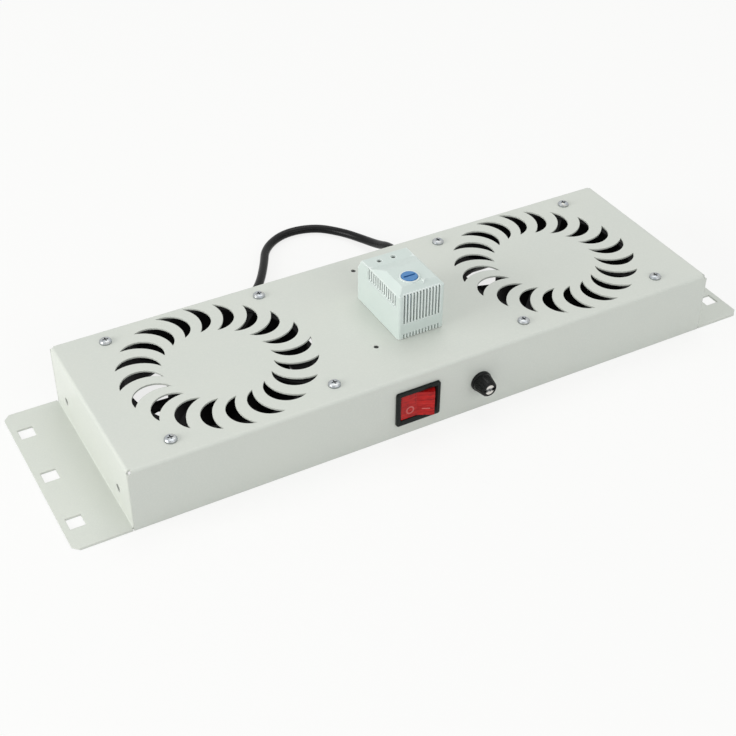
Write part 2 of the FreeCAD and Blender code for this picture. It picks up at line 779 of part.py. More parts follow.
def make_thermostat_leads():
    rear_y = thermo_front + thermo_depth
    ring = turned([(2.6, -sheet - 1.5), (grommet_radius + 1.5, -sheet - 1.5), (grommet_radius + 1.5, -sheet),
                   (grommet_radius, -sheet), (grommet_radius, 0), (grommet_radius + 1.5, 0),
                   (grommet_radius + 1.3, 1.5), (2.6, 1.5)])
    save("lead_grommet", moved(ring, grommet_x, grommet_y, top))
    leads = []
    for x, k in zip(terminal_places(), (-1, 1)):
        gx = grommet_x + k * (wire_radius + 0.1)
        way = V(gx, block_y - block_depth / 2, underside - 10.8)
        leads.append(tube([V(x, terminal_y + 3, top + 23.4), V(x, rear_y - 2, top + 18.6),
                           V(x + (gx - x) * 0.4, rear_y + 4.5, top + 14), V(gx, grommet_y, top + 7),
                           V(gx, grommet_y + 0.1, underside - 5), V(gx, grommet_y + 1.2, way.z + 2.2),
                           way - Y * 4, way], wire_radius))
    save("thermostat_leads", leads)


# ---- Rocker switch. Its own axes: x along the switch, y out of its face, z across, and the
# ---- pivot at the origin.
def rocker_outline(shrink, skirt):
    """The rocker's section across its pivot: two flats that meet in a shallow valley. Each end is
    flat where it stands square in the window when pressed, and round about the pivot below."""
    reach = window_length / 2 - rocker_gap - shrink
    slope = math.radians(rocker_tilt)
    face = (rocker_face - shrink) / math.cos(slope)
    pressed = rocker_face - shrink
    tip = V(reach * math.cos(slope) - pressed * math.sin(slope),
            reach * math.sin(slope) + pressed * math.cos(slope), 0)
    shoulder = V(reach * math.cos(slope), reach * math.sin(slope), 0)
    waist = V(reach, 0, 0)
    foot = V(math.sqrt(reach ** 2 - skirt ** 2), -skirt, 0)

    def left(p):
        return V(-p.x, p.y, 0)

    valley = V(0, face, 0)
    return Part.Face(Part.Wire([
        Part.makeLine(valley, tip), Part.makeLine(tip, shoulder),
        Part.Arc(shoulder, waist, foot).toShape(), Part.makeLine(foot, left(foot)),
        Part.Arc(left(foot), left(waist), left(shoulder)).toShape(),
        Part.makeLine(left(shoulder), left(tip)), Part.makeLine(left(tip), valley)]))


def switch_place(shape):
    """From the switch's own axes into the front wall."""
    return moved(spun(shape, 180), switch_x, front + pivot_depth, switch_z)


def poles():
    return [k * pole_spacing / 2 for k in (-1, 1)]


def switch_body():
    half_l, half_w = switch_length / 2, switch_width / 2
    face_y = pivot_depth
    bezel = box(-bezel_length / 2, bezel_length / 2, face_y, face_y + bezel_height,
                -bezel_width / 2, bezel_width / 2)
    bezel = rounded(bezel, 1.5, lambda m, a: abs(a.y) > 1 and abs(a.x) < 1e-6 and abs(a.z) < 1e-6)
    bezel = rounded(bezel, 0.6, lambda m, a: abs(m.y - face_y - bezel_height) < 1e-6)
    body = box(-half_l, half_l, face_y - switch_depth, face_y, -half_w, half_w).fuse(bezel)
    body = body.cut(window_funnel(face_y + bezel_height))
    wide, high = half_l - switch_wall / 2, window_width / 2
    body = body.cut(box(-wide, wide, face_y - switch_cavity, face_y - 0.8, -high, high))
    body = body.cut(box(-window_length / 2, window_length / 2, face_y - 1, face_y + 3, -high, high))
    body = body.cut(rod(pivot_radius + fit, V(0, 0, -half_w - 1), V(0, 0, half_w + 1)))
    latch = face_y - sheet - 0.1
    snaps = [prism([V(k * half_l, latch, -4), V(k * (half_l + 1.3), latch - 1.5, -4),
                    V(k * half_l, latch - 6.5, -4)], Z * 8) for k in (-1, 1)]
    body = body.fuse(snaps)
    return body.cut([tab_slot(x, z) for z in poles() for x in (0, bridge_reach)]).removeSplitter()


def window_funnel(face_y):
    """The slope that runs from the bezel's face down to the window."""
    def ring(y, grow):
        l, w = window_length / 2 + grow, window_width / 2 + grow
        return Part.makePolygon([V(-l, y, -w), V(l, y, -w), V(l, y, w), V(-l, y, w), V(-l, y, -w)])
    return Part.makeLoft([ring(face_y - bezel_slope, 0), ring(face_y + 0.1, 1.1 * bezel_slope)], True, True)


def tab_slot(x, z):
    """The space of one terminal in the switch's floor."""
    floor_y = pivot_depth - switch_cavity
    return box(x - tab_thickness / 2, x + tab_thickness / 2, pivot_depth - switch_depth - 1, floor_y + 1,
               z - tab_width / 2, z + tab_width / 2)


def switch_terminals():
    """In each pole the middle terminal carries the bridge, and the end one is its contact."""
    floor_y = pivot_depth - switch_cavity
    back = pivot_depth - switch_depth - tab_length
    terminals = []
    for z in poles():
        for x in (0, bridge_reach):
            low, high = z - tab_width / 2, z + tab_width / 2
            tab = box(x - tab_thickness / 2, x + tab_thickness / 2, back, floor_y, low, high)
            tab = tab.cut(rod(0.8, V(x - 1, back + 3.2, z), V(x + 1, back + 3.2, z)))
            if x == 0:
                head = box(-0.9, 0.9, floor_y, -bridge_pivot - 0.15, z - 1.5, z + 1.5)
                head = head.cut(fulcrum(fulcrum_seat, z, 2.0))
            else:
                contact = bridge_pivot + 0.05 + bridge_reach * math.sin(math.radians(bridge_tilt))
                head = box(x - 1.4, x + tab_thickness / 2, floor_y, -contact - 0.08, z - 1.5, z + 1.5)
            terminals.append(tab.fuse(head).removeSplitter())
    return terminals


def fulcrum(radius, z, half):
    """The round rib that a bar rocks on, or its groove in the middle terminal."""
    return rod(radius, V(0, -bridge_pivot, z - half), V(0, -bridge_pivot, z + half))


def contact_bridges():
    """A see-saw bar in each pole, tilted away from the open contact."""
    floor_y = -bridge_pivot + 0.05
    bars = []
    for z in poles():
        bar = box(-bridge_reach, bridge_reach, floor_y, floor_y + bridge_thickness, z - 1.8, z + 1.8)
        bar = bar.fuse(fulcrum(fulcrum_radius, z, 1.8)).removeSplitter()
        bars.append(spun(bar, bridge_tilt, V(0, -bridge_pivot, 0)))
    return bars


def rocker_and_plungers():
    deep = window_width - 2 * rocker_gap
    half_w = switch_width / 2
    rocker = moved(rocker_outline(0, rocker_skirt).extrude(Z * deep), 0, 0, -deep / 2)
    inner = rocker_outline(rocker_wall, rocker_skirt + 1).extrude(Z * (deep - 2 * rocker_wall))
    rocker = rocker.cut(moved(inner, 0, 0, -deep / 2 + rocker_wall))
    cheek = deep / 2 - rocker_wall
    pads = [rod(pivot_radius + 1.0, V(0, 0, k * (cheek - 0.6)), V(0, 0, k * (cheek + 0.5)))
            for k in (-1, 1)]
    pivots = [rod(pivot_radius, V(0, 0, k * cheek), V(0, 0, k * (half_w - 0.2))) for k in (-1, 1)]
    roof = rocker_face - rocker_wall
    guides = [rod(plunger_radius + 0.9, V(0, roof + 0.5, z), V(0, -1, z)) for z in poles()]
    rocker = rocker.fuse(pads + pivots + guides)
    rocker = rocker.cut([rod(plunger_radius + fit, V(0, roof - 0.4, z), V(0, -2, z)) for z in poles()])
    tip = plunger_radius - plunger_reach
    plungers = [rod(plunger_radius, V(0, roof - 0.5, z), V(0, tip, z)).fuse(
        Part.makeSphere(plunger_radius, V(0, tip, z))).removeSplitter() for z in poles()]
    return (spun(rocker.removeSplitter(), -rocker_tilt),
            [spun(p, -rocker_tilt) for p in plungers])


def make_switch():
    save("switch_body", switch_place(switch_body()))
    rocker, plungers = rocker_and_plungers()
    save("switch_rocker", switch_place(rocker))
    save("switch_plungers", [switch_place(p) for p in plungers])
    floor_y = pivot_depth - switch_cavity
    legs = [box(k * 3.5 - 0.4, k * 3.5 + 0.4, floor_y, -3.2, -0.4, 0.4) for k in (-1, 1)]
    lamp = rod(2.0, V(-4.5, -3.2, 0), V(4.5, -3.2, 0)).fuse(legs).removeSplitter()
    save("switch_lamp", switch_place(lamp))
    save("switch_contact_bridges", [switch_place(s) for s in contact_bridges()])
    save("switch_terminals", [switch_place(s) for s in switch_terminals()])


# ---- Fuse holder. Its own axis is z, outwards from the outer face of the front wall.
def fuse_place(shape):
    return facing(shape, V(fuse_x, front, fuse_z), -Y)


def fuse_holder():
    body = turned([(0, -fuse_barrel_length), (fuse_barrel_radius - 0.8, -fuse_barrel_length),
                   (fuse_barrel_radius, 0.8 - fuse_barrel_length), (fuse_barrel_radius, 0),
                   (fuse_flange_radius, 0), (fuse_flange_radius, fuse_flange - 0.6),
                   (fuse_flange_radius - 0.6, fuse_flange), (fuse_collar_radius, fuse_flange),
                   (fuse_collar_radius, fuse_flange + fuse_collar),
                   (fuse_bore_radius, fuse_flange + fuse_collar), (fuse_bore_radius, fuse_depth),
                   (0, fuse_depth)])
    return body.cut(fuse_terminal_blanks()).removeSplitter()


def fuse_terminal_blanks():
    """The end contact's rivet and tab, and the side contact that reaches into the bore."""
    rivet = disc(1.5, -fuse_barrel_length - 1, fuse_depth)
    tab = box(-tab_thickness / 2, tab_thickness / 2, -tab_width / 2, tab_width / 2,
              -fuse_barrel_length - tab_length - 1, -fuse_barrel_length - 0.05)
    side_z = -fuse_barrel_length + 12
    reach = fuse_barrel_radius + tab_thickness
    side = box(fuse_bore_radius - 0.3, reach, -1.5, 1.5, side_z, side_z + 1.5)
    side = side.fuse(box(fuse_barrel_radius, reach, -tab_width / 2, tab_width / 2,
                         -fuse_barrel_length - tab_length - 1, side_z + 1.5))
    return [rivet.fuse(tab).removeSplitter(), side.removeSplitter()]


def fuse_cap():
    base, tip = cap_face, cap_face + cap_length
    cap = turned([(0, base), (cap_base_radius, base), (cap_base_radius, base + 1.4),
                  (cap_tip_radius, tip - 0.8), (cap_tip_radius - 0.8, tip), (0, tip)])
    step = 360 / cap_flutes
    flute = rod(0.7, V(cap_base_radius + 0.25, 0, base + 1.6), V(cap_tip_radius + 0.25, 0, tip + 0.5))
    cap = cap.cut([spun(flute, k * step) for k in range(cap_flutes)])
    cap = cap.cut(middle_box(V(0, 0, tip), V(2 * cap_tip_radius - 2.4, 1.4, 3.0)))
    cap = cap.cut(disc(fuse_collar_radius + fit, base - 1, cap_hollow))
    return cap.cut(disc(carrier_radius() + fit, base - 1, cap_hollow + 2.5)).removeSplitter()


def carrier_radius():
    return fuse_bore_radius - 0.4


def fuse_carrier():
    """The clip in the cap that grips the fuse's outer end."""
    outer = carrier_radius()
    clip = disc(outer, fuse_seat - 6, cap_hollow + 2.4)
    clip = clip.cut(disc(fuse_radius + 0.02, fuse_seat - 7, fuse_seat + 0.05))
    slots = [spun(box(0, outer + 1, -0.5, 0.5, fuse_seat - 7, fuse_seat - 1), 90 * k + 45) for k in range(4)]
    return clip.cut(slots).removeSplitter()


def make_fuse_holder():
    save("fuse_holder_body", fuse_place(fuse_holder()))
    nut = hexagon(17.0, 3.0, fuse_barrel_radius + fit)
    save("fuse_holder_nut", fuse_place(moved(nut, 0, 0, -sheet - 3.0)))
    save("fuse_holder_terminals", [fuse_place(s) for s in fuse_terminal_blanks()])
    save("fuse_cap", fuse_place(fuse_cap()))
    save("fuse_carrier", fuse_place(fuse_carrier()))
    inner = fuse_seat - fuse_length
    glass = disc(fuse_radius - 0.25, inner + 0.4, fuse_seat - 0.4).cut(
        disc(fuse_radius - 0.7, inner + 1, fuse_seat - 1))
    save("fuse_glass_tube", fuse_place(glass))
    caps = []
    for z0, z1 in ((inner, inner + fuse_cap_length), (fuse_seat - fuse_cap_length, fuse_seat)):
        shell = disc(fuse_radius, z0, z1)
        caps.append(fuse_place(shell.cut(disc(fuse_radius - 0.25, inner + 0.4, fuse_seat - 0.4))))
    save("fuse_end_caps", caps)


# ---- Wiring inside
def sleeve(place, width, thickness, reach):
    """A push-on sleeve whose tab ends at the place and points back; reach of the tab is covered."""
    rest = 6.0
    outer = middle_box(V(0, 0, (rest - reach) / 2), V(thickness + 2.0, width + 1.6, rest + reach))
    tab = middle_box(V(0, 0, -reach / 2), V(thickness + 2 * fit, width + 2 * fit, reach + 0.2))
    return facing(outer.cut(tab), place, Y)


def make_block():
    left = block_x - block_width / 2
    face = block_y - block_depth / 2
    floor = underside - block_height
    block = box(left, left + block_width, face, face + block_depth, floor, underside)
    ways = [disc(2.2, floor - 1, floor + 3.5, left + 4 + k * (block_width - 8) / 3, block_y + j * 5.5)
            for k in range(4) for j in (-1, 1)]
    bore = disc(spare_hole_radius - 0.2, floor - 1, underside + 1, block_x, block_y)
    save("terminal_block", block.cut(ways + [bore, disc(3.3, floor - 1, floor + 3, block_x, block_y)]))


def make_tie_base():
    half = tie_base_size / 2
    base = box(-half, half, -half, half, -tie_base_height, 0)
    base = base.cut([box(-2.4, 2.4, -half - 1, half + 1, -2.6, -1.2),
                     disc(spare_hole_radius - 0.2, -tie_base_height - 1, 1)])
    save("cable_tie_base", moved(base, tie_base_x, tie_base_y, underside))
    low = -tie_base_height
    band = box(-2.0, 2.0, -6.0, 6.0, low - 6.2, low).cut(box(-3, 3, -4.9, 4.9, low - 5.1, low + 1))
    save("cable_tie", moved(band, tie_base_x, tie_base_y, underside))


def make_inner_screws():
    """The self-tapping screws of the tie base and the block; their points show in the cover."""
    screws = []
    for x, y, seat in ((tie_base_x, tie_base_y, tie_base_height), (block_x, block_y, block_height - 3)):
        shank = disc(spare_hole_radius - 0.25, -seat, sheet - 0.3)
        slots = [middle_box(V(0, 0, -seat - 1.8), V(3, 0.8, 1.6)),
                 middle_box(V(0, 0, -seat - 1.8), V(0.8, 3, 1.6))]
        screw = shank.fuse(disc(2.8, -seat - 1.8, -seat)).cut(slots)
        screws.append(moved(screw.removeSplitter(), x, y, underside))
    save("inner_screws", screws)


def make_earth():
    """A welded stud under the cover with its nut, and the ring terminal on the earth wire."""
    stud = disc(screw_radius - fit, -earth_length, 0)
    save("earth_stud", moved(stud, earth_x, earth_y, underside))
    lug_floor = underside - nut_height - lug_thickness
    ring = disc(4.2, lug_floor, lug_floor + lug_thickness, earth_x, earth_y)
    ring = ring.fuse(box(earth_x - 9, earth_x, earth_y - 2, earth_y + 2, lug_floor,
                         lug_floor + lug_thickness))
    barrel = rod(1.9, V(earth_x - 13, earth_y, lug_floor - 0.7), V(earth_x - 8, earth_y, lug_floor - 0.7))
    lug = ring.fuse(barrel).cut(disc(screw_radius, lug_floor - 3, lug_floor + 3, earth_x, earth_y))
    save("earth_lug", lug.removeSplitter())
    way_y, way_z = block_y - block_depth / 2, underside - 10
    crimp = V(earth_x - 13, earth_y, lug_floor - 0.7)
    save("earth_wire", tube([V(11, way_y, way_z), V(11, way_y - 8, way_z), V(16, 23, way_z + 4),
                             crimp - X * 7, crimp], wire_radius))


def make_switch_wiring():
    """Two wires go from the switch's far tabs under the tie base to the block, one from a near
    tab straight to the block, and one comes from the fuse; the last joins the fuse to the block."""
    tab_end = front + switch_depth + tab_length
    far_x, near_x = switch_x - bridge_reach, switch_x
    low_z, high_z = switch_z - pole_spacing / 2, switch_z + pole_spacing / 2
    fuse_end = front + fuse_barrel_length + tab_length + 1
    side_x = fuse_x + fuse_barrel_radius + tab_thickness / 2
    reach = tab_length - 1
    sleeves = [sleeve(V(x, tab_end, z), tab_width, tab_thickness, reach)
               for x in (far_x, near_x) for z in (low_z, high_z)]
    sleeves += [sleeve(V(x, fuse_end, fuse_z), tab_width, tab_thickness, reach)
                for x in (fuse_x, side_x)]
    save("spade_sleeves", sleeves)
    start, fuse_start = tab_end + 6, fuse_end + 6
    way_y, way_z = block_y - block_depth / 2, underside - 10
    bundle_z = underside - tie_base_height - 3.2
    near_y, far_y = tie_base_y + 1.2, tie_base_y - 1.4
    save("switch_wires", [
        tube([V(far_x, start, high_z), V(far_x, start + 8, high_z), V(far_x - 8, start + 13, high_z + 2),
              V(far_x - 17, start + 9, high_z + 5), V(far_x - 17.5, near_y + 1, bundle_z - 1),
              V(far_x - 9, near_y, bundle_z), V(far_x + 6, near_y, bundle_z),
              V(-13, near_y + 2, bundle_z), V(-11, near_y + 14, bundle_z),
              V(-11.5, 8, bundle_z - 0.5), V(-9.5, way_y - 10, way_z), V(-9.5, way_y, way_z)],
             wire_radius),
        tube([V(far_x, start, low_z), V(far_x, start + 9, low_z), V(far_x - 10, start + 15, low_z + 3),
              V(far_x - 21, start + 10, low_z + 10), V(far_x - 22, far_y + 3, bundle_z - 2),
              V(far_x - 12, far_y, bundle_z), V(far_x + 6, far_y, bundle_z),
              V(-10, far_y + 1, bundle_z), V(-8, far_y + 14, bundle_z),
              V(-8.3, 8, bundle_z - 0.3), V(-6.2, way_y - 10, way_z), V(-6.2, way_y, way_z)],
             wire_radius),
        tube([V(near_x, start, high_z), V(near_x, start + 8, high_z), V(-17, start + 22, high_z + 4),
              V(-16, 10, way_z - 1), V(-13, way_y - 12, way_z), V(-13, way_y, way_z)], wire_radius)])
    save("fuse_wires", [
        tube([V(side_x, fuse_start, fuse_z), V(side_x, fuse_start + 8, fuse_z), V(26, fuse_start + 15, 19),
              V(9, fuse_start + 16, 17.5), V(-9, fuse_start + 12, 17), V(near_x, fuse_start + 3, low_z),
              V(near_x, start, low_z)], wire_radius),
        tube([V(fuse_x, fuse_start, fuse_z), V(fuse_x, fuse_start + 7, fuse_z),
              V(32, -3, 27), V(30, 12, way_z), V(21.5, 25, way_z + 1), V(14.5, way_y - 9, way_z),
              V(14.5, way_y, way_z)], wire_radius)])


# ---- Mains lead
def gland():
    """The tapered bush that holds the lead in the rear wall, with its ribs."""
    wall = cord_radius + fit
    profile = [(wall, -gland_barrel), (gland_barrel_radius - 1.2, -gland_barrel),
               (gland_barrel_radius, -gland_barrel + 3), (gland_barrel_radius + 0.5, -sheet - 0.9),
               (gland_barrel_radius, -sheet - 0.1), (gland_barrel_radius, 0), (gland_flange_radius, 0),
               (gland_flange_radius, gland_flange - 0.8), (gland_flange_radius - 0.8, gland_flange),
               (gland_barrel_radius + 0.3, gland_flange), (gland_nose_radius, gland_nose),
               (wall, gland_nose)]
    body = turned(profile)
    start = gland_flange + 3.0
    pitch = 4.2
    grooves = []
    for k in range(4):
        z = start + k * pitch
        ring = disc(gland_flange_radius, z, z + 1.6).cut(disc(gland_nose_radius - 0.6, z - 1, z + 3))
        gap = V(3.0, 3 * gland_flange_radius, 4)
        gap = V(gap.y, gap.x, gap.z) if k % 2 else gap
        grooves.append(ring.cut(middle_box(V(0, 0, z + 1), gap)))
    return facing(body.cut(grooves), V(gland_x, rear, gland_z), Y)


def hank():
    """The outer shape of the put-away length: two end loops drawn together at the waist."""
    waist = 2 * cord_radius
    away = math.hypot(fold_neck, waist)
    turn = math.atan2(waist, -fold_neck) - math.acos(hank_end / away)
    touch = V(hank_end * math.cos(turn), hank_end * math.sin(turn), 0)
    right_x, left_x = hank_right - hank_end, hank_left + hank_end
    side = [V(left_x - touch.x, touch.y, 0), V(left_x + fold_neck, waist, 0),
            V(right_x - fold_neck, waist, 0), V(right_x + touch.x, touch.y, 0)]
    outline = side + [V(p.x, -p.y, 0) for p in reversed(side)]
    body = prism([moved_point(p) for p in outline], V(0, 0, hank_top - floor_gap))
    body = body.fuse([disc(hank_end, floor_gap, hank_top, x, hank_y) for x in (left_x, right_x)])
    middle = (hank_left + hank_right) / 2
    size = V(strap_width, 2 * waist, hank_top - floor_gap)
    centre = V(middle, hank_y, (hank_top + floor_gap) / 2)
    thick = V(-1, 2 * strap_thickness, 2 * strap_thickness)
    strap = middle_box(centre, size).cut(middle_box(centre, size - thick))
    return body.removeSplitter().cut(strap), strap


def moved_point(p):
    return p + V(0, hank_y, floor_gap)


def plug():
    """A moulded plug with a shrouded recess and three flat pins, lying beside the hank."""
    half, high, corner = plug_width / 2, plug_height / 2, plug_corner

    def outline(inset):
        h, v, c = half - inset, high - inset, corner - inset * 0.5
        return [V(0, -h, -v), V(0, h, -v), V(0, h, v - c), V(0, h - c, v), V(0, c - h, v), V(0, -h, v - c)]

    body = prism(outline(0), V(plug_length, 0, 0))
    body = rounded(body, 1.2, lambda m, a: abs(a.x) > plug_length - 1)
    recess = moved(prism(outline(plug_wall), V(plug_recess + 1, 0, 0)), plug_length - plug_recess)
    boot = turned([(0, 0.5), (7.6, 0.5), (7.6, 0), (6.4, -3), (4.4, -plug_boot), (0, -plug_boot)])
    boot = facing(boot, V(), X)
    body = body.fuse(boot).cut(recess)
    rings = [rod(9, V(-4.5 - k * 3.6, 0, 0), V(-3.1 - k * 3.6, 0, 0)).cut(
        rod(4.6, V(-20, 0, 0), V(0, 0, 0))) for k in range(3)]
    body = body.cut(rings).removeSplitter()
    floor_x = plug_length - plug_recess
    places = [(k * pin_spacing / 2, -pin_rise / 2) for k in (-1, 1)] + [(0, pin_rise / 2)]
    pins = [middle_box(V(floor_x + pin_length / 2 - 1.5, y, z), V(pin_length, pin_thickness, pin_width))
            for y, z in places]
    body = body.cut(pins)
    x = hank_right - 2.5 + plug_boot
    y = rear + hank_wall_gap + half
    return moved(body, x, y, high + floor_gap), [moved(p, x, y, high + floor_gap) for p in pins]


def make_mains_lead():
    save("cord_gland", gland())
    tip = V(gland_x, rear + gland_nose, gland_z)
    way = V(block_x + block_width / 2, block_y + 4.2, underside - 9.8)
    save("supply_tail", tube([tip, V(gland_x, 51.5, gland_z), V(50, 43.5, 18), V(38, 45.5, 22.5),
                              V(28.5, 53.5, 29.5), way + X * 6.5, way], cord_radius))
    flat = cord_z
    save("mains_cord", tube([tip, V(gland_x, 102, gland_z), V(57.6, 119, 8.2), V(54, 136.5, 4.4),
                             V(46.5, 153, flat), V(31, 169, flat), V(7, 173, flat), V(-14, 161, flat),
                             V(-25, 140, flat), V(-38, 120, flat), V(-50, 108.5, flat)], cord_radius))
    body, strap = hank()
    save("cord_hank", body)
    save("cord_strap", strap)
    body, pins = plug()
    save("plug_body", body)
    save("plug_pins", pins)


save("cover", make_cover())
make_fan_fasteners()
bearings, sleeves = [], []
for fan_name, fan_side in (("left", -1), ("right", 1)):
    fan_bearing_pair, fan_sleeve_pair = make_fan(fan_name, fan_side)
    bearings += fan_bearing_pair
    sleeves += fan_sleeve_pair
save("fan_bearings", bearings)
save("fan_sleeves", sleeves)
make_thermostat()
make_thermostat_leads()
make_switch()
make_fuse_holder()
make_block()
make_tie_base()
make_inner_screws()
make_earth()
make_switch_wiring()
make_mains_lead()
print(f"{len(os.listdir('parts'))} files")
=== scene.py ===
"""Finishes, cord, marks, strap, camera and light for the rack fan tray."""
import math

import bpy
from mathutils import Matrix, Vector


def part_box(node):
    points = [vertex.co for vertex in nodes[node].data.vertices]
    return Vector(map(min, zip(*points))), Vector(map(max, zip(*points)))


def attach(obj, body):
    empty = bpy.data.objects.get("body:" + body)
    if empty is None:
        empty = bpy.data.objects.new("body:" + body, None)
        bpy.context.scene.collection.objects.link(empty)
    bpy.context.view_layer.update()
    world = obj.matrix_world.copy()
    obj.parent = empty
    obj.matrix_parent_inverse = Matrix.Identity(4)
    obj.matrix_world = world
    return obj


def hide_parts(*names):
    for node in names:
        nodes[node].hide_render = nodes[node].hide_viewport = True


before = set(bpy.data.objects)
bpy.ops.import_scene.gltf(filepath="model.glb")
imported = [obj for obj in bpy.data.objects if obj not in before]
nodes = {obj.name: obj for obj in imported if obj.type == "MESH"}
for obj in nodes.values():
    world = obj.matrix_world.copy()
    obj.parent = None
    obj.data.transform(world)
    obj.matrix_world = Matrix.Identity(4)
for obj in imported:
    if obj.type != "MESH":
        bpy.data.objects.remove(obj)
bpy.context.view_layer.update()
scene = bpy.context.scene

# ---- Camera at the photograph's viewing angle: metres, degrees, and millimetres for the lens
CAMERA_PLACE = (-0.3626, -0.6129, 0.5551)
CAMERA_TURN = (52.044, -0.426, -28.921)
SENSOR_WIDTH = 36.0
FOCAL_LENGTH = 67.02
NEAREST_SEEN = 0.05
FARTHEST_SEEN = 20.0

camera_data = bpy.data.cameras.new("camera")
camera_data.sensor_width = SENSOR_WIDTH
camera_data.lens = FOCAL_LENGTH
camera_data.clip_start = NEAREST_SEEN
camera_data.clip_end = FARTHEST_SEEN
camera = bpy.data.objects.new("camera", camera_data)
camera.location = CAMERA_PLACE
camera.rotation_euler = [math.radians(angle) for angle in CAMERA_TURN]
scene.collection.objects.link(camera)
scene.camera = camera

# ---- Mains lead: out of its bush, over the floor, folded up behind the tray and into its plug
LEAD_RADIUS = 0.0031
LEAD_START = (0.0588, 0.0936, 0.0158)
OPEN_LEAD = [
    LEAD_START, (0.0588, 0.1074, 0.0158), (0.0576, 0.1243, 0.0082),
    (0.0540, 0.1419, 0.0044), (0.0465, 0.1583, 0.0032), (0.0310, 0.1744, 0.0032),
    (0.0070, 0.1783, 0.0032), (-0.0140, 0.1663, 0.0032), (-0.0250, 0.1454, 0.0032),
    (-0.0380, 0.1253, 0.0032), (-0.0500, 0.1138, 0.0032),
]
# Where the right loop climbs from the lower layer to the upper one
CLIMB = [
    (-0.0299, 0.0791, 0.0032), (-0.0250, 0.0855, 0.0032), (-0.0232, 0.0935, 0.0043),
    (-0.0250, 0.1014, 0.0063), (-0.0301, 0.1079, 0.0083), (-0.0376, 0.1115, 0.0093),
    (-0.0458, 0.1115, 0.0093), (-0.0534, 0.1079, 0.0093),
]
PLUG_END = [
    (-0.0800, 0.0909, 0.0101), (-0.0620, 0.0895, 0.0100), (-0.0460, 0.0879, 0.0102),
    (-0.0340, 0.0863, 0.0103), (-0.0270, 0.0862, 0.0103), (-0.0195, 0.0862, 0.0103),
]

# The hank: two layers of strands, drawn together and lifted at the strap, with a loop at each end
HANK_Y = 0.0941
LEFT_LOOP_X = -0.1643
RIGHT_LOOP_X = -0.0417
LOOP_RADIUS = 0.0186
LOOP_STEP = math.radians(25.76)
LOOP_POINTS = 11
LOWER, UPPER = 0, 1
LAYER_Z = (0.0032, 0.0093)
# The upper left loop is a little smaller, so that it stays hidden behind the tray
LOWER_NEAR_Y, UPPER_NEAR_Y = 0.0755, 0.0753
UPPER_DEPTH_SHARE = 36.0 / 37.2
UPPER_WIDTH_SHARE = 0.975
UPPER_KEPT_X = -0.1648
# Along a strand from right to left: x, distance from the middle line, height in each layer
STRAND = (
    (-0.066, 0.0084, LAYER_Z), (-0.082, 0.0035, (0.0037, 0.0099)),
    (-0.096, 0.0031, (0.0043, 0.0104)), (-0.110, 0.0031, (0.0043, 0.0104)),
    (-0.124, 0.0035, (0.0037, 0.0099)), (-0.140, 0.0084, LAYER_Z),
)


def rounded(points):
    """The points to a tenth of a millimetre."""
    return [tuple(round(value, 4) for value in point) for point in points]


def strand(side, layer):
    """One strand from right to left; side is 1 for the far one and -1 for the near one."""
    return rounded((x, HANK_Y + side * out, heights[layer]) for x, out, heights in STRAND)


def loop(x, middle_turn, layer):
    """Anticlockwise points whose smooth line has the loop's radius."""
    reach = LOOP_RADIUS / math.cos(LOOP_STEP / 2)
    turns = [middle_turn + LOOP_STEP * (k - (LOOP_POINTS - 1) / 2) for k in range(LOOP_POINTS)]
    return rounded((x + reach * math.cos(turn), HANK_Y + reach * math.sin(turn), LAYER_Z[layer])
                   for turn in turns)


def drawn_in(points):
    """A loop made smaller both ways about a point near its middle and its near side."""
    return rounded((UPPER_KEPT_X + (x - UPPER_KEPT_X) * UPPER_WIDTH_SHARE,
                    UPPER_NEAR_Y + (y - LOWER_NEAR_Y) * UPPER_DEPTH_SHARE, z) for x, y, z in points)


def hank():
    """From the open stretch over the far side, twice round, to the near strand under the strap."""
    right_loop = loop(RIGHT_LOOP_X, 0.0, LOWER)
    upper_near_strand = strand(-1, UPPER)[::-1]
    return (strand(1, LOWER)
            + loop(LEFT_LOOP_X, math.pi, LOWER)
            + strand(-1, LOWER)[::-1]
            + right_loop[:LOOP_POINTS - len(CLIMB)]
            + CLIMB
            + strand(1, UPPER)
            + drawn_in(loop(LEFT_LOOP_X, math.pi, UPPER))
            + upper_near_strand[:4])


LEAD = OPEN_LEAD + hank() + PLUG_END


def cord_curve(name, points, radius):
    """A cord along one smooth spline with these control points."""
    data = bpy.data.curves.new(name, "CURVE")
    data.dimensions = "3D"
    data.bevel_depth = radius
    data.bevel_resolution = 8
    data.resolution_u = 16
    data.use_fill_caps = True
    spline = data.splines.new("NURBS")
    spline.points.add(len(points) - 1)
    for point, place in zip(spline.points, points):
        point.co = (*place, 1.0)
    spline.order_u = 3
    spline.use_endpoint_u = True
    piece = bpy.data.objects.new(name, data)
    scene.collection.objects.link(piece)
    return piece


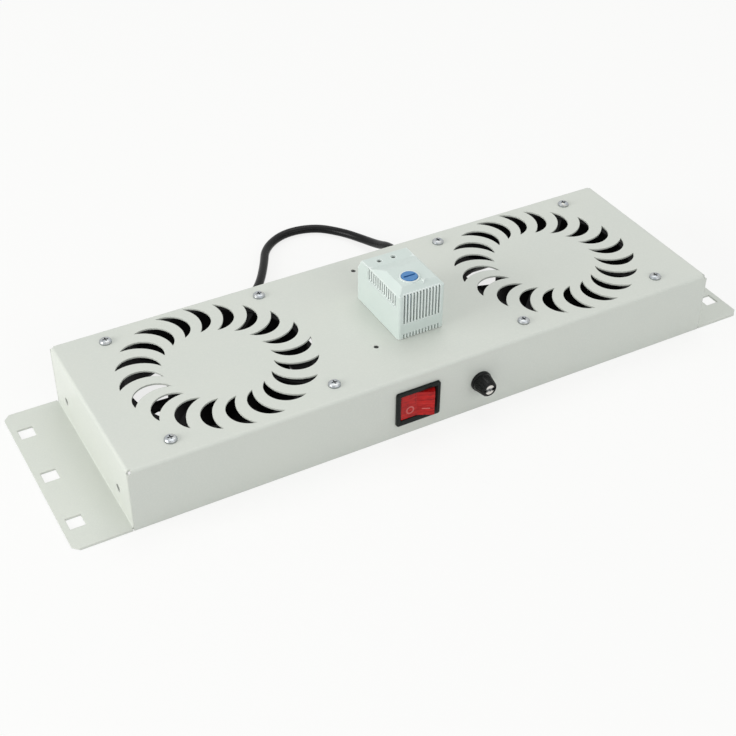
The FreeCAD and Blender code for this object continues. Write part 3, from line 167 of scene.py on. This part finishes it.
# ---- Materials
class Surface:
    """A node-based material: a Principled shader with soft edges, grain and slight variation."""

    def __init__(self, name, colour, roughness, metallic=0.0, edge=0.0003):
        self.material = bpy.data.materials.new(name)
        self.material.use_nodes = True
        self.material.diffuse_color = (*colour, 1.0)
        self.tree = self.material.node_tree
        self.shader = self.tree.nodes["Principled BSDF"]
        self.shader.inputs["Base Color"].default_value = (*colour, 1.0)
        self.shader.inputs["Roughness"].default_value = roughness
        self.shader.inputs["Metallic"].default_value = metallic
        self.colour = colour
        self.roughness = roughness
        self.place = self.add("ShaderNodeTexCoord").outputs["Object"]
        self.normal = None
        if edge:
            soft = self.add("ShaderNodeBevel")
            soft.samples = 4
            soft.inputs["Radius"].default_value = edge
            self.normal = soft.outputs["Normal"]
            self.link(self.normal, self.shader.inputs["Normal"])

    def add(self, kind, **values):
        node = self.tree.nodes.new(kind)
        for key, value in values.items():
            setattr(node, key, value)
        return node

    def link(self, start, end):
        self.tree.links.new(start, end)

    def set(self, **values):
        """Shader sockets by name, with underscores for the spaces."""
        for key, value in values.items():
            self.shader.inputs[key.replace("_", " ")].default_value = value
        return self

    def stretched(self, scale):
        mapping = self.add("ShaderNodeMapping")
        mapping.inputs["Scale"].default_value = scale
        self.link(self.place, mapping.inputs["Vector"])
        return mapping.outputs["Vector"]

    def noise(self, per_metre, detail=3.0, stretch=None):
        """Noise with this many cells in a metre, drawn out or squeezed along X, Y and Z."""
        node = self.add("ShaderNodeTexNoise")
        node.inputs["Scale"].default_value = per_metre
        node.inputs["Detail"].default_value = detail
        self.link(self.stretched(stretch) if stretch else self.place, node.inputs["Vector"])
        return node.outputs["Fac"]

    def grain(self, per_metre, height, detail=2.0, stretch=None, strength=1.0):
        """Bump from noise; height in metres."""
        return self.bump(self.noise(per_metre, detail, stretch), height, strength)

    def bump(self, source, height, strength=1.0):
        """The source as relief, on top of the relief that is there."""
        node = self.add("ShaderNodeBump")
        node.inputs["Strength"].default_value = strength
        node.inputs["Distance"].default_value = height
        self.link(source, node.inputs["Height"])
        if self.normal:
            self.link(self.normal, node.inputs["Normal"])
        self.normal = node.outputs["Normal"]
        self.link(self.normal, self.shader.inputs["Normal"])
        return self

    def spread(self, source, low, high, start=0.3, end=0.7):
        """The source between start and end brought to the range low to high."""
        node = self.add("ShaderNodeMapRange")
        node.inputs["From Min"].default_value = start
        node.inputs["From Max"].default_value = end
        node.inputs["To Min"].default_value = low
        node.inputs["To Max"].default_value = high
        self.link(source, node.inputs["Value"])
        return node.outputs["Result"]

    def sheen_change(self, per_metre, amount):
        """Roughness that varies by the amount either way."""
        source = self.noise(per_metre)
        self.link(self.spread(source, self.roughness - amount, self.roughness + amount),
                  self.shader.inputs["Roughness"])
        return self

    def colours(self, source, other, start=0.3, end=0.7):
        """The base colour mixed towards the other one where the source is high."""
        mix = self.add("ShaderNodeMix", data_type="RGBA")
        self.link(self.spread(source, 0.0, 1.0, start, end), mix.inputs["Factor"])
        mix.inputs["A"].default_value = (*self.colour, 1.0)
        socket = self.shader.inputs["Base Color"]
        if socket.is_linked:
            self.link(socket.links[0].from_socket, mix.inputs["A"])
        mix.inputs["B"].default_value = (*other, 1.0)
        self.link(mix.outputs["Result"], socket)
        return self

    def mottle(self, per_metre, other, start=0.3, end=0.7, stretch=None):
        """Soft patches of the other colour."""
        return self.colours(self.noise(per_metre, stretch=stretch), other, start, end)


def powder_coat():
    """Light grey powder coat with its fine orange peel."""
    surface = Surface("powder_coat", (0.655, 0.680, 0.622), 0.40, edge=0.0005)
    surface.set(Specular_IOR_Level=0.45)
    surface.mottle(26, (0.640, 0.668, 0.615))
    surface.mottle(900, (0.672, 0.695, 0.640), 0.45, 0.75)
    surface.grain(620, 0.00006, 1.0, strength=0.55)
    surface.grain(2600, 0.000012, 2.0, strength=0.6)
    return surface.sheen_change(60, 0.04)


def moulding(name, colour, other, roughness, grain=3200, height=0.00002, edge=0.0003, shine=0.5):
    """A matte moulded plastic with a fine spark-eroded grain."""
    surface = Surface(name, colour, roughness, edge=edge)
    surface.set(Specular_IOR_Level=shine)
    surface.mottle(120, other).grain(grain, height, 3.0, strength=0.6)
    return surface.sheen_change(150, 0.05)


def zinc():
    """Bright zinc plate with fine scratches, a faint passivation tint and painted shade in its
    recesses.
    """
    surface = Surface("zinc_plate", (0.42, 0.43, 0.43), 0.34, 1.0, edge=0.0002)
    surface.mottle(420, (0.36, 0.39, 0.42))
    surface.mottle(300, (0.47, 0.45, 0.39), 0.6, 0.8)
    # Painted shade: the colour goes towards near black where ambient occlusion finds a recess.
    recess_shade = surface.add("ShaderNodeAmbientOcclusion", samples=8)
    recess_shade.inputs["Distance"].default_value = 0.0016
    surface.colours(recess_shade.outputs["AO"], (0.035, 0.035, 0.037), 0.62, 0.22)
    surface.grain(9000, 0.000006, 2.0)
    return surface.sheen_change(1500, 0.08)


def bare_metal(name, colour, other, roughness):
    """Drawn or rolled metal with fine lines across Z."""
    surface = Surface(name, colour, roughness, 1.0, edge=0.00015)
    surface.mottle(500, other).grain(900, 0.000008, 3.0, (1, 1, 12))
    return surface.sheen_change(700, 0.07)


def cast_black():
    """Black painted die casting with a sandy skin."""
    surface = Surface("painted_casting", (0.004, 0.004, 0.0043), 0.66, edge=0.0005)
    surface.set(Specular_IOR_Level=0.07)
    surface.mottle(150, (0.007, 0.007, 0.0073)).grain(1500, 0.00004, 4.0, strength=0.6)
    return surface.sheen_change(300, 0.06)


def sheath(name, colour, other, roughness=0.36, shine=0.3):
    """Extruded cord or wire insulation: smooth, a little wavy and softly shining."""
    surface = Surface(name, colour, roughness, edge=0)
    surface.set(Specular_IOR_Level=shine)
    surface.mottle(200, other).grain(420, 0.00008, 1.0, strength=0.5)
    surface.grain(4000, 0.00001, 2.0, strength=0.4)
    return surface.sheen_change(220, 0.06)


def earth_sheath():
    """Green insulation with yellow stripes."""
    surface = Surface("earth_insulation", (0.07, 0.30, 0.05), 0.4, edge=0)
    wave = surface.add("ShaderNodeTexWave", bands_direction="DIAGONAL")
    wave.inputs["Scale"].default_value = 110
    surface.link(surface.place, wave.inputs["Vector"])
    surface.colours(wave.outputs["Fac"], (0.72, 0.60, 0.03), 0.45, 0.55)
    return surface.grain(4000, 0.00001, 2.0, strength=0.4)


def rocker_plastic():
    """Red see-through rocker plastic with a high gloss and painted sheen in lighter streaks."""
    surface = Surface("rocker_plastic", (0.30, 0.004, 0.005), 0.22, edge=0.0004)
    surface.set(Specular_IOR_Level=0.22)
    # Painted sheen: the two lighter mottles are squeezed along Z into streaks.
    surface.mottle(160, (0.56, 0.014, 0.012), stretch=(1, 1, 5))
    surface.mottle(420, (0.17, 0.003, 0.004), 0.55, 0.8)
    surface.mottle(90, (0.66, 0.03, 0.024), 0.60, 0.75, (0.4, 1, 9))
    surface.grain(260, 0.00005, 1.0, strength=0.4)
    return surface.sheen_change(200, 0.03)


def fuse_plastic():
    """Glossy black phenolic, with a painted highlight of grey streaks round the screwdriver slot of
    the cap.
    """
    surface = moulding("fuse_holder_plastic", (0.005, 0.006, 0.0055), (0.009, 0.010, 0.0095), 0.20,
                       2200, 0.00002, shine=0.16)
    # Painted highlight: grey streaks on the cap's front face, fading out between 1.2 and 3 mm from
    # its middle.
    low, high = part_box("fuse_cap")
    middle = ((low[0] + high[0]) / 2, low[1] + 0.0002, (low[2] + high[2]) / 2)
    reach = surface.add("ShaderNodeVectorMath", operation="DISTANCE")
    surface.link(surface.place, reach.inputs[0])
    reach.inputs[1].default_value = middle
    near = surface.spread(reach.outputs["Value"], 1.0, 0.0, 0.0012, 0.0030)
    marks = surface.add("ShaderNodeMath", operation="MULTIPLY")
    surface.link(near, marks.inputs[0])
    glint_streaks = surface.noise(700, 2.0, (1, 1, 0.35))
    surface.link(surface.spread(glint_streaks, 0.0, 1.0, 0.40, 0.52), marks.inputs[1])
    return surface.colours(marks.outputs[0], (0.62, 0.63, 0.62), 0.15, 0.85)


def painted_edge_highlight(surface, other, width):
    """Painted highlight: the colour a little lighter along outer edges."""
    # Painted highlight: ambient occlusion looked for inside the part finds the outer edges, which are
    # made lighter.
    edges = surface.add("ShaderNodeAmbientOcclusion", samples=8, inside=True)
    edges.inputs["Distance"].default_value = width
    return surface.colours(edges.outputs["AO"], other, 0.90, 0.50)


def clear(name, colour):
    """Clear glass, very slightly uneven."""
    surface = Surface(name, colour, 0.03, edge=0)
    surface.set(Transmission_Weight=0.9, IOR=1.48)
    return surface.grain(300, 0.00002, 1.0, strength=0.3)


def laminated():
    """Stacked electrical sheet: fine lines across the core."""
    surface = Surface("core_sheets", (0.20, 0.19, 0.185), 0.45, 0.9, edge=0)
    wave = surface.add("ShaderNodeTexWave", bands_direction="Z")
    wave.inputs["Scale"].default_value = 320
    surface.link(surface.place, wave.inputs["Vector"])
    return surface.bump(wave.outputs["Fac"], 0.00012).mottle(300, (0.12, 0.11, 0.11))


def coil():
    """Enamelled copper wire, laid in fine rows."""
    surface = Surface("enamelled_wire", (0.42, 0.14, 0.045), 0.28, 0.85, edge=0.0006)
    wave = surface.add("ShaderNodeTexWave", bands_direction="DIAGONAL")
    wave.inputs["Scale"].default_value = 420
    wave.inputs["Distortion"].default_value = 0.6
    surface.link(surface.place, wave.inputs["Vector"])
    return surface.bump(wave.outputs["Fac"], 0.00025).mottle(200, (0.30, 0.09, 0.03))


def strap_fabric():
    """Black hook and loop strap: rows of fine loops."""
    surface = Surface("strap_fabric", (0.020, 0.020, 0.021), 0.85, edge=0)
    surface.set(Sheen_Weight=0.3)
    voronoi = surface.add("ShaderNodeTexVoronoi")
    voronoi.inputs["Scale"].default_value = 1500
    surface.link(surface.place, voronoi.inputs["Vector"])
    return surface.bump(voronoi.outputs["Distance"], 0.0004).mottle(700, (0.035, 0.035, 0.036))


surfaces = {
    "coat": powder_coat(),
    "zinc": zinc(),
    "casting": cast_black(),
    "black": moulding("black_plastic", (0.0035, 0.0035, 0.0038), (0.006, 0.006, 0.0063), 0.62,
                      shine=0.06),
    "gloss_black": moulding("switch_plastic", (0.007, 0.010, 0.009), (0.011, 0.014, 0.013), 0.30,
                            1800, 0.00002, shine=0.14),
    "dark_steel": bare_metal("oxidised_steel", (0.040, 0.040, 0.042), (0.060, 0.058, 0.055), 0.45),
    "ferrite": moulding("ferrite", (0.07, 0.065, 0.062), (0.05, 0.045, 0.042), 0.7, 1200, 0.00006),
    "shaft": bare_metal("shaft_steel", (0.62, 0.62, 0.63), (0.55, 0.55, 0.57), 0.2),
    "bronze": bare_metal("bearing_bronze", (0.50, 0.33, 0.14), (0.42, 0.27, 0.11), 0.4),
    "core": laminated(),
    "coil": coil(),
    "tinned": bare_metal("tinned_brass", (0.68, 0.64, 0.55), (0.60, 0.55, 0.46), 0.3),
    "silver": bare_metal("silver_contact", (0.80, 0.79, 0.77), (0.70, 0.69, 0.67), 0.25),
    "brass": bare_metal("plain_brass", (0.62, 0.44, 0.17), (0.54, 0.37, 0.14), 0.32),
    "bimetal": bare_metal("bimetal", (0.48, 0.44, 0.38), (0.40, 0.37, 0.33), 0.35),
    "nickel": bare_metal("nickel_plate", (0.72, 0.70, 0.66), (0.66, 0.64, 0.60), 0.16),
    "natural": moulding("natural_nylon", (0.70, 0.69, 0.62), (0.66, 0.65, 0.57), 0.42),
    # Thermostat plastic with a painted highlight along its outer edges
    "thermostat": painted_edge_highlight(
        moulding("thermostat_plastic", (0.650, 0.725, 0.688), (0.634, 0.712, 0.674), 0.46, 2600,
                 0.00003, 0.0006, 0.4), (0.84, 0.90, 0.87), 0.0012),
    "inner": moulding("inner_plastic", (0.20, 0.205, 0.20), (0.17, 0.175, 0.17), 0.5),
    "dial": moulding("dial_plastic", (0.052, 0.195, 0.46), (0.062, 0.225, 0.50), 0.34, 2600, 0.00001),
    "rocker": rocker_plastic(),
    "fuse": fuse_plastic(),
    "glass": clear("fuse_glass", (0.93, 0.97, 0.96)),
    "lamp": clear("lamp_glass", (0.98, 0.62, 0.40)),
    "wire_black": sheath("black_wire", (0.012, 0.012, 0.013), (0.018, 0.018, 0.019)),
    "wire_brown": sheath("brown_wire", (0.13, 0.045, 0.02), (0.16, 0.06, 0.03)),
    "earth": earth_sheath(),
    "cord": sheath("cord_sheath", (0.005, 0.005, 0.0054), (0.009, 0.009, 0.0094), 0.27, 0.16),
    "print": moulding("mark_print", (0.60, 0.13, 0.12), (0.54, 0.10, 0.09), 0.45),
    "strap": strap_fabric(),
}

# ---- Which CAD nodes have which surface
dressing = {
    "coat": ("cover",),
    "zinc": ("fan_screws", "nuts", "earth_stud", "thermostat_terminal_screws"),
    "dark_steel": ("inner_screws",),
    "casting": ("left_fan_frame", "right_fan_frame"),
    "black": ("left_fan_impeller", "right_fan_impeller", "left_fan_terminals", "right_fan_terminals",
              "lead_grommet"),
    "gloss_black": ("switch_body",),
    "ferrite": ("left_fan_rotor_ring", "right_fan_rotor_ring"),
    "shaft": ("left_fan_shaft", "right_fan_shaft"),
    "bronze": ("fan_bearings",),
    "core": ("left_fan_core", "right_fan_core"),
    "coil": ("left_fan_windings", "right_fan_windings"),
    "tinned": ("switch_terminals", "fuse_holder_terminals", "fuse_carrier", "earth_lug"),
    "silver": ("switch_contact_bridges",),
    "brass": ("thermostat_clamps",),
    "bimetal": ("thermostat_bimetal_strip",),
    "nickel": ("fuse_end_caps", "plug_pins"),
    "natural": ("terminal_block", "cable_tie_base", "cable_tie", "fan_sleeves", "spade_sleeves"),
    "thermostat": ("thermostat_case", "thermostat_base"),
    "inner": ("thermostat_contact_carrier", "switch_plungers"),
    "dial": ("thermostat_dial",),
    "rocker": ("switch_rocker",),
    "fuse": ("fuse_holder_body", "fuse_holder_nut", "fuse_cap"),
    "glass": ("fuse_glass_tube",),
    "lamp": ("switch_lamp",),
    "wire_black": ("thermostat_leads", "left_fan_lead", "right_fan_lead"),
    "wire_brown": ("switch_wires", "fuse_wires"),
    "earth": ("earth_wire",),
    "cord": ("cord_gland", "supply_tail", "mains_cord", "cord_hank", "plug_body"),
    "strap": ("cord_strap",),
}
for finish, names in dressing.items():
    for name in names:
        for slot in nodes[name].material_slots:
            slot.material = surfaces[finish].material


# ---- Pieces made here
def mesh_piece(name, vertices, faces, finish, body, slot):
    """A smooth mesh with a surface of its own that rides on a body."""
    mesh = bpy.data.meshes.new(name)
    mesh.from_pydata([tuple(vertex) for vertex in vertices], [], faces)
    mesh.validate()
    for face in mesh.polygons:
        face.use_smooth = True
    piece = bpy.data.objects.new(name, mesh)
    scene.collection.objects.link(piece)
    mesh.materials.append(surfaces[finish].material)
    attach(piece, body)
    return piece


def swept(rows, closed=True):
    """Faces between rings of points, all alike; closed joins the last ring to the first."""
    count, width = len(rows), len(rows[0])
    vertices = [vertex for row in rows for vertex in row]
    spans = count if closed else count - 1
    faces = [(r * width + k, r * width + (k + 1) % width,
              (r + 1) % count * width + (k + 1) % width, (r + 1) % count * width + k)
             for r in range(spans) for k in range(width)]
    if not closed:
        faces.append(tuple(reversed(range(width))))
        faces.append(tuple((count - 1) * width + k for k in range(width)))
    return vertices, faces


# ---- Switch marks: a ring on the pressed half of the rocker and a bar on the raised half
FACE_TILT = math.radians(26)
FACE_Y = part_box("switch_body")[0][1] + 0.0014
VALLEY_X = -0.01923
MARK_HEIGHT = 0.00009
MARK_ROOT = 0.0002
MARK_ARC_STEPS = 8
RING_STEPS = 40
BAR_STEPS = 12
BAR_END_WIDTH = 0.35


def on_rocker(x, z, height):
    """A point over the rocker's face; right of the valley the face slopes outwards."""
    slope = max(0.0, x - VALLEY_X)
    y = FACE_Y - slope * math.tan(FACE_TILT)
    tilt = FACE_TILT if slope else 0.0
    return Vector((x - height * math.sin(tilt), y - height * math.cos(tilt), z))


def mark_section(width):
    """Half-round profile of a printed line, sunk a little into the face."""
    turns = [math.pi * k / MARK_ARC_STEPS for k in range(MARK_ARC_STEPS + 1)]
    arc = [(-width / 2 * math.cos(turn), MARK_HEIGHT * math.sin(turn)) for turn in turns]
    return [(-width / 2, -MARK_ROOT)] + arc + [(width / 2, -MARK_ROOT)]


def ring_mark(x, z, radius, width):
    """A printed ring about a point of the face."""
    rows = []
    for k in range(RING_STEPS):
        turn = 2 * math.pi * k / RING_STEPS
        rows.append([on_rocker(x + (radius + out) * math.cos(turn),
                               z + (radius + out) * math.sin(turn), height)
                     for out, height in mark_section(width)])
    return swept(rows)


def bar_mark(x, z, length, width):
    """A printed bar along X with rounded ends."""
    rows = []
    for k in range(BAR_STEPS + 1):
        share = BAR_END_WIDTH if k in (0, BAR_STEPS) else 1.0
        rows.append([on_rocker(x + length * (k / BAR_STEPS - 0.5), z + across * share, height * share)
                     for across, height in mark_section(width)])
    return swept(rows, closed=False)


off_ring = ring_mark(x=-0.0239, z=0.0183, radius=0.0024, width=0.0010)
on_bar = bar_mark(x=-0.0141, z=0.0177, length=0.0048, width=0.0008)
mesh_piece("rocker_mark_off", *off_ring, "print", "rocker", "rocker_red")
mesh_piece("rocker_mark_on", *on_bar, "print", "rocker", "rocker_red")

# ---- Plated inlays of the fuse cap, one on each side of its screwdriver slot
INLAY_RADIUS = 0.0040
INLAY_SINK = 0.00008
SLOT_HALF_WIDTH = 0.0010
INLAY_ARC_STEPS = 24
INLAY_EDGE_STEPS = 8
# Each ring of an inlay, from its root to its crown: its share of the outline and its height
INLAY_RINGS = ((1.0, -0.0004), (1.0, 0.0), (0.93, 0.00006), (0.6, 0.00009), (0.2, 0.0001))


def inlay_outline():
    """Over the circle from one end of the slot's edge to the other, and back along the edge."""
    start = math.asin(SLOT_HALF_WIDTH / INLAY_RADIUS)
    outline = []
    for k in range(INLAY_ARC_STEPS + 1):
        turn = start + (math.pi - 2 * start) * k / INLAY_ARC_STEPS
        outline.append((INLAY_RADIUS * math.cos(turn), INLAY_RADIUS * math.sin(turn)))
    for k in range(1, INLAY_EDGE_STEPS):
        share = 2 * k / INLAY_EDGE_STEPS - 1
        outline.append((INLAY_RADIUS * math.cos(start) * share, SLOT_HALF_WIDTH))
    return outline


def inlay(side):
    """A crowned plate bounded by a circle and the slot's edge; side is 1 above the slot."""
    low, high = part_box("fuse_cap")
    x = (low[0] + high[0]) / 2
    z = (low[2] + high[2]) / 2
    middle = INLAY_RADIUS * 0.5
    rows = [[Vector((x + across * share, low[1] + INLAY_SINK - height,
                     z + side * (middle + (up - middle) * share))) for across, up in inlay_outline()]
            for share, height in INLAY_RINGS]
    return swept(rows, closed=False)


for place, side in (("upper", 1), ("lower", -1)):
    mesh_piece(f"fuse_cap_inlay_{place}", *inlay(side), "nickel", "fuse_cap", "nickel")

# ---- Strap round the folded lead: a flat band whose end laps over its start
STRAP_X = -0.103
STRAP_Z = 0.00735
STRAP_HALF_WIDTH = 0.007
STRAP_HALF_THICKNESS = 0.0005
STRAP_BEVEL = 0.00025
STRAP_GAP = 0.00045
STRAP_QUARTERS = 6
QUARTER_STEPS = 6
LAP_START = 3.4
LAP_RISE = 0.6
LAP_LIFT = 0.0012


def lap(quarters):
    """How far the strap stands off its first turn, after this many quarter turns."""
    return min(1.0, max(0.0, (quarters - LAP_START) / LAP_RISE)) * LAP_LIFT


def strap_path():
    """Round the four strands: quarter circles about each, joined by straights."""
    points = []
    corners = [(1, 1), (-1, 1), (-1, -1), (1, -1)]
    for k in range(STRAP_QUARTERS):
        side, level = corners[k % 4]
        for step in range(QUARTER_STEPS + 1):
            turn = math.pi / 2 * (k % 4) + math.pi / 2 * step / QUARTER_STEPS
            radius = LEAD_RADIUS + STRAP_GAP + lap(k + step / QUARTER_STEPS)
            points.append((HANK_Y + side * LEAD_RADIUS + radius * math.cos(turn),
                           STRAP_Z + level * LEAD_RADIUS + radius * math.sin(turn)))
    return points


def strap_section():
    """The band's width and thickness with its four edges taken off."""
    wide, thick = STRAP_HALF_WIDTH, STRAP_HALF_THICKNESS
    narrow, thin = wide - STRAP_BEVEL, thick - STRAP_BEVEL
    return [(-wide, -thin), (-wide, thin), (-narrow, thick), (narrow, thick),
            (wide, thin), (wide, -thin), (narrow, -thick), (-narrow, -thick)]


def strap():
    """The section swept along the path, square to it."""
    path = strap_path()
    rows = []
    for k, (y, z) in enumerate(path):
        before, after = path[max(k - 1, 0)], path[min(k + 1, len(path) - 1)]
        along = Vector((0, after[0] - before[0], after[1] - before[1])).normalized()
        out = Vector((0, along.z, -along.y))
        rows.append([Vector((STRAP_X + across, y, z)) + out * up for across, up in strap_section()])
    return swept(rows, closed=False)


band = mesh_piece("lead_strap", *strap(), "strap", "tray", "strap_black")
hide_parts("cord_strap")

# ---- The lead itself
lead = cord_curve("mains_lead", LEAD, LEAD_RADIUS)
lead.data.materials.append(surfaces["cord"].material)
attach(lead, "tray")
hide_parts("mains_cord", "cord_hank")

# ---- Floor, background and lights
FLOOR_HALF = 14.0
FLOOR_Z = -0.0002
FLOOR_GLOW = 0.82
WORLD_STRENGTH = 0.55
LIT_POINT = (0.0, 0.0, 0.04)


def seen_directly(tree):
    """1 for camera, mirror and glass rays, which see the white background, and 0 for the rest."""
    rays = tree.nodes.new("ShaderNodeLightPath")
    total = rays.outputs["Is Camera Ray"]
    for kind in ("Is Glossy Ray", "Is Transmission Ray"):
        add = tree.nodes.new("ShaderNodeMath")
        add.operation = "MAXIMUM"
        tree.links.new(total, add.inputs[0])
        tree.links.new(rays.outputs[kind], add.inputs[1])
        total = add.outputs[0]
    return total


def paper_floor():
    """Matt white paper that takes the shadow and glows a little where it is seen."""
    paper = bpy.data.materials.new("paper")
    paper.use_nodes = True
    tree = paper.node_tree
    shader = tree.nodes["Principled BSDF"]
    shader.inputs["Base Color"].default_value = (0.86, 0.86, 0.855, 1.0)
    shader.inputs["Roughness"].default_value = 0.9
    shader.inputs["Specular IOR Level"].default_value = 0.1
    glow = tree.nodes.new("ShaderNodeEmission")
    glow.inputs["Color"].default_value = (0.995, 0.995, 0.985, 1.0)
    share = tree.nodes.new("ShaderNodeMath")
    share.operation = "MULTIPLY"
    share.inputs[1].default_value = FLOOR_GLOW
    mixer = tree.nodes.new("ShaderNodeMixShader")
    tree.links.new(seen_directly(tree), share.inputs[0])
    tree.links.new(share.outputs[0], mixer.inputs["Fac"])
    tree.links.new(shader.outputs["BSDF"], mixer.inputs[1])
    tree.links.new(glow.outputs["Emission"], mixer.inputs[2])
    tree.links.new(mixer.outputs["Shader"], tree.nodes["Material Output"].inputs["Surface"])
    corners = [(FLOOR_HALF * x, FLOOR_HALF * y, FLOOR_Z)
               for x, y in ((-1, -1), (1, -1), (1, 1), (-1, 1))]
    mesh = bpy.data.meshes.new("floor")
    mesh.from_pydata(corners, [], [(0, 1, 2, 3)])
    mesh.materials.append(paper)
    floor = bpy.data.objects.new("floor", mesh)
    scene.collection.objects.link(floor)
    return floor


def white_world():
    """White where it is seen, and a weaker, faintly blue light on the object."""
    world = bpy.data.worlds.new("world")
    world.use_nodes = True
    tree = world.node_tree
    seen = tree.nodes["Background"]
    seen.inputs["Color"].default_value = (0.992, 0.992, 0.985, 1.0)
    unseen = tree.nodes.new("ShaderNodeBackground")
    unseen.inputs["Color"].default_value = (0.96, 0.98, 1.0, 1.0)
    unseen.inputs["Strength"].default_value = WORLD_STRENGTH
    mixer = tree.nodes.new("ShaderNodeMixShader")
    tree.links.new(seen_directly(tree), mixer.inputs["Fac"])
    tree.links.new(unseen.outputs["Background"], mixer.inputs[1])
    tree.links.new(seen.outputs["Background"], mixer.inputs[2])
    tree.links.new(mixer.outputs["Shader"], tree.nodes["World Output"].inputs["Surface"])
    return world


paper_floor()
scene.world = white_world()


def soft_light(name, place, size, power, colour=(1.0, 1.0, 1.0)):
    """An area light turned to the middle of the tray; size in metres, power in watts."""
    data = bpy.data.lights.new(name, "AREA")
    data.shape = "RECTANGLE"
    data.size, data.size_y = size
    data.energy = power
    data.color = colour
    light = bpy.data.objects.new(name, data)
    light.location = place
    light.rotation_euler = (Vector(LIT_POINT) - Vector(place)).to_track_quat("-Z", "Y").to_euler()
    scene.collection.objects.link(light)


soft_light("left_light", (-1.9, 0.1, 0.7), (1.2, 0.9), 21.0, (1.0, 0.995, 0.98))
soft_light("front_light", (0.3, -1.7, 0.9), (1.6, 0.9), 7.0)
soft_light("top_light", (0.4, 0.5, 1.8), (1.2, 1.2), 8.5, (1.0, 0.99, 0.96))

scene.view_settings.view_transform = "Standard"
